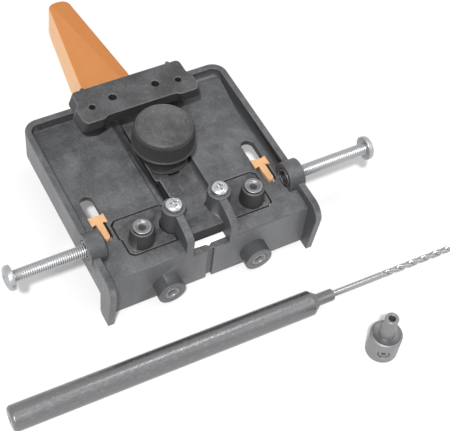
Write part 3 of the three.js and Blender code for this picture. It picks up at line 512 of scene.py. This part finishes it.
def metal(name, tone, roughness, scale, scratch=None, along=(1, 1, 1), amount=0.3, metallic=1.0):
    """Metal with wear drawn out along its work; scratch is the colour that shows in the wear."""
    if name in bpy.data.materials:
        return bpy.data.materials[name]
    made, tree, shader = material(name)
    wear = node(tree, "ShaderNodeGroup", {
        "Along": along, "Scale": scale, "Amount": amount,
    }, node_tree=scratched_group())
    worn = opaque(scratch if scratch else [min(1, 0.7 * part) for part in tone])
    tree.links.new(mixed(tree, wear.outputs["Mask"], opaque(tone), worn), shader.inputs["Base Color"])
    shader.inputs["Metallic"].default_value = metallic
    uneven = ramp(tree, wear.outputs["Height"], 0.3, 0.7, to_low=roughness * 0.8, to_high=roughness * 1.25)
    tree.links.new(uneven, shader.inputs["Roughness"])
    bump(tree, shader, wear.outputs["Height"], strength=0.12, distance=0.04 * MM)
    return made


def zinc():
    return metal("zinc plate", colours().zinc, roughness=0.27, scale=900, amount=0.25)


def stop_zinc():
    return metal("stop screw zinc", colours().stop_zinc, roughness=0.34, scale=900, amount=0.1)


def bush_steel():
    return metal("bush steel", colours().bush, roughness=0.36, along=(1, 1, 0.2), scale=700, amount=0.5)


def bore_steel():
    return metal("bush bore", colours().bore, roughness=0.6, along=(1, 1, 0.2), scale=700, metallic=0.4)


def drill_steel():
    return metal("drill steel", colours().drill, roughness=0.2, along=(0.3, 1, 1), scale=500, amount=0.15)


def black_steel():
    return metal("black steel", colours().black_oxide, roughness=0.31, scratch=colours().scratch,
                 along=(0.6, 2, 2), scale=900, amount=0.2, metallic=0.85)


def collar_steel():
    return metal("collar steel", colours().collar, roughness=0.42, scratch=colours().scratch,
                 along=(1, 1, 3), scale=300, amount=0.15, metallic=0.6)


def rubber():
    """Matt rubber with a fine tooth."""
    if "rubber" in bpy.data.materials:
        return bpy.data.materials["rubber"]
    made, tree, shader = material("rubber")
    tooth = noise(tree, object_point(tree), 1 / finish().grain, detail=4, roughness=0.7)
    lighter = opaque([min(1, 2 * part) for part in colours().rubber])
    base = mixed(tree, ramp(tree, tooth, 0.4, 0.7), opaque(colours().rubber), lighter)
    tree.links.new(base, shader.inputs["Base Color"])
    shader.inputs["Roughness"].default_value = 0.85
    bump(tree, shader, tooth, strength=0.3, distance=0.1 * MM)
    return made


# Shapes

def rounded(corners, radius, steps=4):
    """A line of [radius, height] corners with each inner corner drawn as a parabola.

    The parabola leaves both sides at the given distance, or at 45% of the shorter side."""
    corners = np.asarray(corners, float)
    before, corner, after = corners[:-2], corners[1:-1], corners[2:]
    back, onward = before - corner, after - corner
    long_back = np.linalg.norm(back, axis=1, keepdims=True)
    long_on = np.linalg.norm(onward, axis=1, keepdims=True)
    cut = np.minimum(radius, 0.45 * np.minimum(long_back, long_on))
    start = corner + back / long_back * cut
    end = corner + onward / long_on * cut
    t = np.linspace(0, 1, steps + 1)[:, None, None]
    curve = (1 - t) ** 2 * start + 2 * t * (1 - t) * corner + t ** 2 * end
    return np.concatenate([corners[:1], curve.transpose(1, 0, 2).reshape(-1, 2), corners[-1:]])


def turned(profile, sides):
    """A profile spun about Z: radius times the cosine and sine of the turn, and height."""
    profile = np.asarray(profile, float)
    turn = np.linspace(0, 2 * np.pi, sides, endpoint=False)
    radius, height = profile[:, :1], profile[:, 1:]
    return np.stack([radius * np.cos(turn), radius * np.sin(turn), height + 0 * turn], -1)


def box_corners(stands_for):
    """The lowest and the highest corner of a CAD node."""
    low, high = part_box(stands_for)
    return np.array(low), np.array(high)


def facing(points, origin, axis):
    """Points drawn about Z, turned so that Z runs along the axis, and moved to the origin given."""
    turn = np.array(UP.rotation_difference(Vector(axis)).to_matrix())
    return points @ turn.T + np.asarray(origin, float)


def grid_mesh(name, points, closed_rows=False):
    """A mesh over rows of points that each go round once, with its poles merged and its faces outwards."""
    rows, columns = points.shape[:2]
    index = np.arange(rows * columns).reshape(rows, columns)
    if closed_rows:
        index = np.concatenate([index, index[:1]])
    ahead = np.roll(index, -1, axis=1)
    faces = np.stack([index[:-1], index[1:], ahead[1:], ahead[:-1]], -1).reshape(-1, 4)
    mesh = bpy.data.meshes.new(name)
    mesh.from_pydata(points.reshape(-1, 3), [], faces)
    work = bmesh.new()
    work.from_mesh(mesh)
    bmesh.ops.remove_doubles(work, verts=work.verts, dist=WELD)
    bmesh.ops.recalc_face_normals(work, faces=work.faces)
    work.to_mesh(mesh)
    work.free()
    return mesh


def dressed(name, mesh, stands_for, surface, sharp=38):
    """Puts a mesh in the scene as a piece that stands for a CAD node and rides on its body."""
    made = bpy.data.objects.new(name, mesh)
    bpy.context.scene.collection.objects.link(made)
    mesh.materials.clear()
    mesh.materials.append(surface)
    mesh.polygons.foreach_set("use_smooth", np.ones(len(mesh.polygons), bool))
    mesh.set_sharp_from_angle(angle=math.radians(sharp))
    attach(made, NODE_BODY[stands_for])
    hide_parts(stands_for)
    return made


def second_surface(mesh, surface, is_there):
    """A second material for the faces whose centres the given test picks out."""
    mesh.materials.append(surface)
    centres = np.empty(3 * len(mesh.polygons))
    mesh.polygons.foreach_get("center", centres)
    mesh.polygons.foreach_set("material_index", is_there(centres.reshape(-1, 3)).astype(int))


def cad_copy(stands_for, angle):
    """A copy of a CAD solid with its doubles merged and its flat faces joined.

    Its outward edges that turn by more than the angle, in radians, are marked for rounding."""
    mesh = bpy.data.meshes.new(stands_for + "_shape")
    work = bmesh.new()
    work.from_mesh(frame["nodes"][stands_for].data)
    bmesh.ops.remove_doubles(work, verts=work.verts, dist=WELD)
    bmesh.ops.dissolve_limit(work, angle_limit=math.radians(FLAT), verts=work.verts, edges=work.edges)
    bmesh.ops.recalc_face_normals(work, faces=work.faces)
    marks = work.edges.layers.float.new("bevel_weight_edge")
    for edge in work.edges:
        if len(edge.link_faces) == 2 and edge.calc_face_angle_signed() > angle:
            edge[marks] = 1
    work.to_mesh(mesh)
    work.free()
    return mesh


def softened(stands_for, surface, radius, segments=2, angle=32, worn=None):
    """The CAD solid with its outward edges rounded; worn is a surface for the rounded edges alone, which on
    nylon paints them lighter as wear and painted highlight.
    """
    made = dressed(stands_for + "_shape", cad_copy(stands_for, math.radians(angle)), stands_for, surface)
    edges = made.modifiers.new("rounded edges", "BEVEL")
    edges.width = radius
    edges.segments = segments
    edges.limit_method = "WEIGHT"
    edges.use_clamp_overlap = False
    if worn:
        made.data.materials.append(worn)
        edges.material = 1


# Screws and bushes

def screw_grid(shank, length, head, height, pitch, depth):
    """A screw about Z with its seat at 0: a superellipse head, a cross recess and a cut thread.

    Head height = edge + crown * (1 - share of radius ^ 2.6) ^ (1 / 2.6), less the recess, which is
    deeper in its middle.
    Thread radius = shank - depth * triangle wave of (height / pitch - turn)."""
    look = bpy.context.scene.jig_screws
    sides, rings, steps_in_turn = 72, 40, 10
    power, soft, deeper, flank = 2.6, 0.06, 1.35, 0.85
    turn = np.linspace(0, 2 * np.pi, sides, endpoint=False)
    out = np.linspace(0, 1, rings)[:, None]
    edge = height / 3
    crown = edge + (height - edge) * (1 - out ** power) ** (1 / power)
    x, y = out * np.cos(turn), out * np.sin(turn)

    def inside(value, limit):
        return np.clip((limit - np.abs(value)) / soft + 0.5, 0, 1)

    cross = np.maximum(inside(x, look.recess_arm) * inside(y, look.recess_reach),
                       inside(y, look.recess_arm) * inside(x, look.recess_reach))
    sunk = crown - cross * height * look.recess_depth * (deeper - out)
    top = np.stack([head * x, head * y, sunk], -1)
    rim = turned(rounded([[head, edge], [head, 0], [shank, 0]], height / 10), sides)
    down = np.linspace(0, length, int(length / pitch * steps_in_turn))[:, None]
    wave = np.abs(((down / pitch - turn / (2 * np.pi)) % 1) * 2 - 1)
    runout = np.clip(np.minimum(down / pitch, (length - down) / pitch), 0, 1)
    radius = shank - depth * (1 - flank + flank * wave) * runout
    radius = np.where(down > length - depth, radius - (down - length + depth), radius)
    thread = np.stack([radius * np.cos(turn), radius * np.sin(turn), -down + 0 * turn], -1)
    tip = np.broadcast_to([0, 0, -length], (1, sides, 3))
    return np.concatenate([top, rim, thread, tip])


def screw(stands_for, axis, surface, height, shank, pitch, depth):
    """A screw in the box of its CAD node, with its head of the given height towards the axis."""
    low, high = box_corners(stands_for)
    along = int(np.argmax(np.abs(axis)))
    across = [side for side in range(3) if side != along]
    head = (high - low)[across].min() / 2
    length = (high - low)[along] - height
    seat = (low + high) / 2
    seat[along] = (high[along] - height) if axis[along] > 0 else (low[along] + height)
    grid = facing(screw_grid(shank, length, head, height, pitch, depth), seat, axis)
    dressed(stands_for + "_cut", grid_mesh(stands_for, grid), stands_for, surface, sharp=50)


def bush(stands_for, axis):
    """A drill bush: a ring with a rounded rim, and a hollow cone that leads into its bore.

    A closed line of [radius, height] corners is rounded and spun about the axis."""
    low, high = box_corners(stands_for)
    along = int(np.argmax(np.abs(axis)))
    across = [side for side in range(3) if side != along]
    radius = (high - low)[0] / 2 + BUSH_FIT
    length = (high - low)[along]
    back = (low + high) / 2
    back[along] = low[along] if axis[along] > 0 else high[along]
    mouth = radius * 0.66
    cone_top = length - BUSH_BORE * 0.3
    cone_end = length - BUSH_BORE * 0.45
    closed = [
        [BUSH_BORE, length / 2], [BUSH_BORE, 0], [radius, 0], [radius, length], [mouth, length],
        [mouth * 0.9, cone_top], [BUSH_BORE, cone_end], [BUSH_BORE, length / 2],
    ]
    profile = rounded(closed, 0.35 * MM)[:-1]
    mesh = grid_mesh(stands_for, facing(turned(profile, 72), back, axis), closed_rows=True)
    dressed(stands_for + "_turned", mesh, stands_for, bush_steel())

    def in_bore(centres):
        return np.linalg.norm((centres - back)[:, across], axis=1) < BUSH_BORE * 1.2

    second_surface(mesh, bore_steel(), in_bore)


# Pieces

def build_body():
    # The outer walls take the lighter colour as painted light, and the rounded edges take 0.4 of it as wear
    # and painted highlight.
    surface = nylon("body nylon", colours().nylon_deep, lit_and_worn=lit_outer_walls, dusty=behind_fence)
    edges = nylon("body edges", colours().nylon_deep, lit_and_worn=0.4)
    softened("body", surface, finish().body_round, worn=edges)


def build_mouldings():
    small = nylon("small nylon", colours().nylon_dark)
    bridge = nylon("bridge nylon", colours().nylon_dark, dust_share=0.6)
    # The rounded edges take 0.4 of the lighter colour, as wear and painted highlight.
    edges = nylon("small edges", colours().nylon_dark, lit_and_worn=0.4)
    softened("bridge", bridge, finish().edge_round, worn=edges)
    for piece in ("setback_bar", "bush_carrier_left", "bush_carrier_right"):
        softened(piece, small, finish().edge_round, worn=edges)


def build_bushes():
    for side in SIDES:
        bush("top_bush_" + side, (0, 0, 1))
        bush("fence_bush_" + side, (0, -1, 0))
        softened("stop_insert_" + side, bush_steel(), finish().metal_round)


def build_screws():
    look = bpy.context.scene.jig_screws
    small = (zinc(), look.small_head, look.small_shank, look.small_pitch, look.small_depth)
    stop = (stop_zinc(), look.stop_head, look.stop_shank, look.stop_pitch, look.stop_depth)
    for side, way in zip(SIDES, (-1, 1)):
        screw("post_screw_" + side, (0, 0, 1), *small)
        screw("bridge_screw_" + side, (0, 0, -1), *small)
        screw("stop_screw_" + side, (way, 0, 0), *stop)
    link = (zinc(), look.link_head, look.link_shank, look.small_pitch, look.small_depth)
    screw("link_screw", (0, 0, -1), *link)


def knob_profile(look, cap, lip, waist, top, bottom):
    """The knob's [radius, height] line: domed top with a ring groove, flared band, and hub.

    Its sides are cut in four, so that the ridges can fade along them."""
    hub = lip * 0.72
    groove = cap * 0.885
    half_groove = 0.35 * MM
    shoulder, bead = KNOB_SHOULDER, KNOB_BEAD
    corners = [
        [0, top - 0.1 * MM], [groove - half_groove, top], [groove, top - look.groove_depth],
        [groove + half_groove, top - 0.05 * MM], [cap - shoulder * 0.45, top - 0.35 * MM],
        [cap, top - shoulder], [lip - bead, waist + 2 * bead], [lip, waist + 1.7 * bead],
        [lip, waist + bead / 3], [lip - bead, waist], [lip - shoulder, waist - 0.3 * MM],
        [hub, waist - shoulder], [hub, bottom], [0, bottom],
    ]
    line = rounded(corners, 0.3 * MM, steps=5)
    cut = np.linspace(line[:-1], line[1:], 5, axis=1)[:, :-1].reshape(-1, 2)
    return np.concatenate([cut, line[-1:]])


def build_knob():
    """The knob: its profile is spun, and its band is drawn in between the ridges.

    Radius = profile - ridge depth * share of the band * (raised cosine of the ridges' turn) ^ 0.7."""
    look = bpy.context.scene.jig_knob
    low, high = box_corners("locking_knob")
    top = high[2]
    lip = (high - low)[0] / 2
    cap = lip - look.flare
    waist = top - look.skirt
    profile = knob_profile(look, cap, lip, waist, top, low[2])
    sides = look.ridges * 8
    grid = turned(profile, sides)
    turn = np.linspace(0, 2 * np.pi, sides, endpoint=False)
    out, height = profile[:, 0], profile[:, 1]
    fade = 0.4 * MM
    above_lip = np.clip((height - waist - 2 * KNOB_BEAD) / fade, 0, 1)
    below_top = np.clip((top - fade / 2 - height) / fade, 0, 1)
    outside = np.clip((out - 0.9 * cap) / (0.05 * cap), 0, 1)
    deeper_up = np.clip((height - waist) / (top - KNOB_SHOULDER - waist), 0.3, 1)
    in_band = above_lip * below_top * outside * deeper_up
    ridge = in_band[:, None] * look.ridge_depth * (0.5 + 0.5 * np.cos(look.ridges * turn)) ** 0.7
    pulled = 1 - ridge / np.maximum(profile[:, :1], MM)
    grid[..., :2] *= pulled[..., None]
    middle = (low + high) / 2
    mesh = grid_mesh("locking_knob", grid + [middle[0], middle[1], 0])
    surface = nylon("knob nylon", colours().knob_band, dust_share=0.8, dusty=knob_top)
    dressed("locking_knob_turned", mesh, "locking_knob", surface, sharp=50)
    # The hub below the lip takes dark nylon without dust, as painted shade under the knob's band.
    hub_shade_surface = nylon("hub nylon", colours().nylon_dark, dust_share=0)
    second_surface(mesh, hub_shade_surface, lambda centres: centres[:, 2] < waist)
    plate_surface = nylon("plate nylon", colours().nylon_dark, dust_share=0.25)
    softened("knob_washer", plate_surface, finish().metal_round)
    softened("knob_stud", zinc(), finish().metal_round)
    softened("clamp_nut", bush_steel(), finish().metal_round)


def build_pointers():
    for side in SIDES:
        softened("pointer_" + side, pointer_plastic(), finish().metal_round * 1.5)
    softened("pointer_strip", orange_plastic(), finish().metal_round)
    softened("retainer_strip", bush_steel(), finish().metal_round)


def build_lever():
    softened("clamp_lever", orange_plastic(), finish().lever_round, segments=3, angle=40)


def build_clamp():
    jaw_surface = nylon("jaw nylon", colours().nylon_dark, dust_share=0.3)
    softened("clamp_jaw", jaw_surface, finish().edge_round)
    softened("jaw_pad", rubber(), finish().edge_round)
    softened("lever_pin", zinc(), finish().metal_round)
    softened("jaw_guide_pin", zinc(), finish().metal_round)


def end_middle(stands_for, is_end):
    """The middle of the vertices of a CAD node whose X the given test picks out."""
    vertices = frame["nodes"][stands_for].data.vertices
    points = np.empty(3 * len(vertices))
    vertices.foreach_get("co", points)
    points = points.reshape(-1, 3)
    return points[is_end(points[:, 0])].mean(0)


def drill_line():
    """The drill's axis: where its rear end is, which way it points, and its length."""
    end = 0.3 * MM
    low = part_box("drill_arbor")[0].x
    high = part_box("drill_bit")[1].x
    rear = end_middle("drill_arbor", lambda x: x < low + end)
    tip = end_middle("drill_bit", lambda x: x > high - end)
    total = np.linalg.norm(tip - rear)
    return rear, (tip - rear) / total, total


def build_drill():
    """The arbor is the CAD solid with rounded edges, and the bit a twisted bar.

    Bit radius = radius * (1 - flute depth * fade * flute wave of the twisted turn) * point."""
    look = bpy.context.scene.jig_drill
    softened("drill_arbor", black_steel(), finish().arbor_round, angle=25)
    softened("arbor_grub_screw", black_steel(), finish().metal_round / 2)
    rear, way, total = drill_line()
    low, high = box_corners("drill_bit")
    radius = (high - low)[2] / 2
    sides, rings = 40, 420
    late_start, first_ring = 0.4 * MM, 0.2 * MM
    fade_length, point_length = 3 * MM, 1.1 * MM
    start = total - (high - low)[0] + late_start
    turn = np.linspace(0, 2 * np.pi, sides, endpoint=False)
    along = np.concatenate([[start], np.linspace(start + first_ring, total, rings)])[:, None]
    twist = turn - 2 * np.pi * along / look.lead
    fade = np.clip((along - (total - look.fluted)) / fade_length, 0, 1)
    wave = np.clip(np.cos(2 * twist), 0, 1) ** 0.7
    point = np.clip((total - along) / point_length, 0.02, 1)
    size = radius * (1 - look.flute_depth * fade * wave) * point
    grid = np.stack([size * np.cos(turn), size * np.sin(turn), along + 0 * turn], -1)
    ends = [np.broadcast_to([0, 0, end], (1, sides, 3)) for end in (start, total)]
    grid = np.concatenate([ends[0], grid, ends[1]])
    mesh = grid_mesh("drill_bit", facing(grid, rear, way))
    dressed("drill_bit_twisted", mesh, "drill_bit", drill_steel(), sharp=60)


def build_collar():
    softened("stop_collar", collar_steel(), finish().collar_round, angle=25)
    softened("collar_grub_screw", collar_steel(), finish().metal_round / 2)


# Stage

def out_from_jig(azimuth, pitch):
    """The way out from the jig: degrees to the right of its front, and above the horizon."""
    azimuth, pitch = math.radians(azimuth), math.radians(pitch)
    return Vector((
        math.sin(azimuth) * math.cos(pitch), -math.cos(azimuth) * math.cos(pitch), math.sin(pitch),
    ))


def camera_matrix():
    """The camera's place: its back points out by its azimuth and pitch, it is rolled, and it sees the
    anchor point at the anchor pixel, at the set distance."""
    look = bpy.context.scene.jig_stage
    roll = math.radians(look.roll)
    back = out_from_jig(-look.azimuth, look.pitch)
    level = UP.cross(back).normalized()
    above = back.cross(level)
    right = math.cos(roll) * level + math.sin(roll) * above
    up = math.cos(roll) * above - math.sin(roll) * level
    aside = (ANCHOR_PIXEL[0] - PIXELS[0] / 2) * look.distance / look.focal
    over = (PIXELS[1] / 2 - ANCHOR_PIXEL[1]) * look.distance / look.focal
    matrix = Matrix((right, up, back)).transposed().to_4x4()
    matrix.translation = ANCHOR - aside * right - over * up + look.distance * back
    return matrix


def add_lamp(name, azimuth, pitch, distance, width, level):
    """A square lamp aimed at the jig. Its power makes a white card that faces it as bright as the level:
    power = pi squared * distance squared * level."""
    data = bpy.data.lights.new(name, "AREA")
    data.shape = "SQUARE"
    data.size = width
    data.energy = math.pi ** 2 * distance ** 2 * level
    lamp = bpy.data.objects.new(name, data)
    bpy.context.scene.collection.objects.link(lamp)
    away = out_from_jig(azimuth, pitch)
    turn = UP.rotation_difference(away).to_matrix().to_4x4()
    lamp.matrix_world = Matrix.Translation(away * distance) @ turn


def seen_rays(tree):
    """1 for camera, glossy and transmission rays."""
    path = node(tree, "ShaderNodeLightPath")
    first = math_node(tree, "MAXIMUM", path.outputs["Is Camera Ray"], path.outputs["Is Glossy Ray"])
    return math_node(tree, "MAXIMUM", first, path.outputs["Is Transmission Ray"])


def under_body(tree):
    """Mask of the floor under the body, which is seen through its window, where painted light covers the
    body's shadow.
    """
    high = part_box("body")[1]
    soft = 4 * MM
    half_width = high.x / 2
    rear = high.y - soft
    point = parts_of(tree, "Object")
    across = math_node(tree, "ABSOLUTE", point["X"])
    between = ramp(tree, across, half_width - soft, half_width, to_low=1.0, to_high=0.0)
    behind = ramp(tree, point["Y"], 0, soft)
    before = ramp(tree, point["Y"], rear - soft, rear, to_low=1.0, to_high=0.0)
    return product(tree, between, product(tree, behind, before))


def floor_material():
    """Pale floor: white paper that shows the shadow, lifted to white for what is seen of it. It is
    lifted further far off, where the lamps fade, and under the body, so that its window shows white."""
    look = bpy.context.scene.jig_stage
    fade_start, fade_end = 0.35, 1.2
    made = bpy.data.materials.new("pale floor")
    tree = empty_tree(made)
    away = node(tree, "ShaderNodeVectorMath", {0: object_point(tree)}, operation="LENGTH")
    far = ramp(tree, away.outputs["Value"], fade_start, fade_end)
    whiter = product(tree, math_node(tree, "MAXIMUM", under_body(tree), far), look.further_lift)
    lifted = product(tree, seen_rays(tree), math_node(tree, "ADD", whiter, look.floor_lift))
    paper = node(tree, "ShaderNodeBsdfDiffuse", {"Color": (0.8, 0.8, 0.8, 1)})
    lift = node(tree, "ShaderNodeEmission", {"Color": (1, 1, 1, 1), "Strength": lifted})
    both = node(tree, "ShaderNodeAddShader", {0: paper.outputs["BSDF"], 1: lift.outputs["Emission"]})
    node(tree, "ShaderNodeOutputMaterial", {"Surface": both.outputs["Shader"]})
    return made


def build_stage():
    look = bpy.context.scene.jig_stage
    scene = bpy.context.scene
    data = bpy.data.cameras.new("photo_camera")
    data.sensor_width = SENSOR
    data.lens = look.focal * SENSOR / PIXELS[0]
    data.clip_start = 0.01
    camera = bpy.data.objects.new("photo_camera", data)
    scene.collection.objects.link(camera)
    camera.matrix_world = camera_matrix()
    scene.camera = camera

    mesh = bpy.data.meshes.new("floor")
    corners = np.array([[-1, -1, 0], [1, -1, 0], [1, 1, 0], [-1, 1, 0]]) * look.floor_half
    mesh.from_pydata(corners + [0, 0, CAD_BOX[0].z], [], [[0, 1, 2, 3]])
    mesh.materials.append(floor_material())
    floor = bpy.data.objects.new("floor", mesh)
    scene.collection.objects.link(floor)

    world = bpy.data.worlds.new("studio")
    scene.world = world
    tree = empty_tree(world)
    dim = node(tree, "ShaderNodeBackground", {"Color": (1, 1, 1, 1), "Strength": look.sky_level})
    white = node(tree, "ShaderNodeBackground", {"Color": (1, 1, 1, 1), "Strength": 1.0})
    choose = node(tree, "ShaderNodeMixShader", {
        0: seen_rays(tree), 1: dim.outputs["Background"], 2: white.outputs["Background"],
    })
    node(tree, "ShaderNodeOutputWorld", {"Surface": choose.outputs["Shader"]})

    for name, (azimuth, pitch, distance, width) in LAMPS.items():
        add_lamp(name + "_lamp", azimuth, pitch, distance, width, getattr(look, name + "_level"))
    scene.view_settings.view_transform = "Standard"


# Operators

class JIG_OT_body(bpy.types.Operator):
    """Dress the moulded body"""
    bl_idname = "jig.body"
    bl_label = "Body"

    def execute(self, context):
        build_body()
        return {"FINISHED"}


class JIG_OT_mouldings(bpy.types.Operator):
    """Dress the bridge, the setback bar and the bush carriers"""
    bl_idname = "jig.mouldings"
    bl_label = "Small mouldings"

    def execute(self, context):
        build_mouldings()
        return {"FINISHED"}


class JIG_OT_bushes(bpy.types.Operator):
    """Turn the drill bushes and dress the stop inserts"""
    bl_idname = "jig.bushes"
    bl_label = "Bushes"

    def execute(self, context):
        build_bushes()
        return {"FINISHED"}


class JIG_OT_screws(bpy.types.Operator):
    """Cut the screws with their threads and cross recesses"""
    bl_idname = "jig.screws"
    bl_label = "Screws"

    def execute(self, context):
        build_screws()
        return {"FINISHED"}


class JIG_OT_knob(bpy.types.Operator):
    """Make the locking knob with its clamp plate, stud and nut"""
    bl_idname = "jig.knob"
    bl_label = "Locking knob"

    def execute(self, context):
        build_knob()
        return {"FINISHED"}


class JIG_OT_pointers(bpy.types.Operator):
    """Dress the setback pointers and the strips under the deck"""
    bl_idname = "jig.pointers"
    bl_label = "Pointers"

    def execute(self, context):
        build_pointers()
        return {"FINISHED"}


class JIG_OT_lever(bpy.types.Operator):
    """Dress the orange clamp lever"""
    bl_idname = "jig.lever"
    bl_label = "Clamp lever"

    def execute(self, context):
        build_lever()
        return {"FINISHED"}


class JIG_OT_clamp(bpy.types.Operator):
    """Dress the clamp jaw, its pad and both pins"""
    bl_idname = "jig.clamp"
    bl_label = "Clamp jaw"

    def execute(self, context):
        build_clamp()
        return {"FINISHED"}


class JIG_OT_drill(bpy.types.Operator):
    """Make the drill arbor and its twisted bit"""
    bl_idname = "jig.drill"
    bl_label = "Drill"

    def execute(self, context):
        build_drill()
        return {"FINISHED"}


class JIG_OT_collar(bpy.types.Operator):
    """Dress the loose stop collar"""
    bl_idname = "jig.collar"
    bl_label = "Stop collar"

    def execute(self, context):
        build_collar()
        return {"FINISHED"}


class JIG_OT_stage(bpy.types.Operator):
    """Set the camera, the floor, the lamps and the studio light"""
    bl_idname = "jig.stage"
    bl_label = "Stage"

    def execute(self, context):
        build_stage()
        return {"FINISHED"}


OPERATORS = (
    JIG_OT_stage, JIG_OT_body, JIG_OT_mouldings, JIG_OT_bushes, JIG_OT_screws, JIG_OT_knob,
    JIG_OT_pointers, JIG_OT_lever, JIG_OT_clamp, JIG_OT_drill, JIG_OT_collar,
)
GROUPS = {
    "jig_colours": JigColours, "jig_finish": JigFinish, "jig_screws": JigScrews,
    "jig_knob": JigKnob, "jig_drill": JigDrill, "jig_stage": JigStage,
}


class JIG_PT_panel(bpy.types.Panel):
    """Lists the jig's pieces and sizes"""
    bl_label = "Drilling jig"
    bl_idname = "JIG_PT_panel"
    bl_space_type = "VIEW_3D"
    bl_region_type = "UI"
    bl_category = "Jig"

    def draw(self, context):
        for operator in OPERATORS:
            self.layout.operator(operator.bl_idname)
        for name, kind in GROUPS.items():
            box = self.layout.box()
            for key in kind.__annotations__:
                box.prop(getattr(context.scene, name), key)


CLASSES = (*GROUPS.values(), *OPERATORS, JIG_PT_panel)


def register():
    for kind in CLASSES:
        bpy.utils.register_class(kind)
    for name, kind in GROUPS.items():
        setattr(bpy.types.Scene, name, PointerProperty(type=kind))


def unregister():
    for name in GROUPS:
        delattr(bpy.types.Scene, name)
    for kind in reversed(CLASSES):
        bpy.utils.unregister_class(kind)


def main():
    register()
    for operator in OPERATORS:
        getattr(bpy.ops.jig, operator.bl_idname.split(".")[1])()


if __name__ == "__main__":
    main()
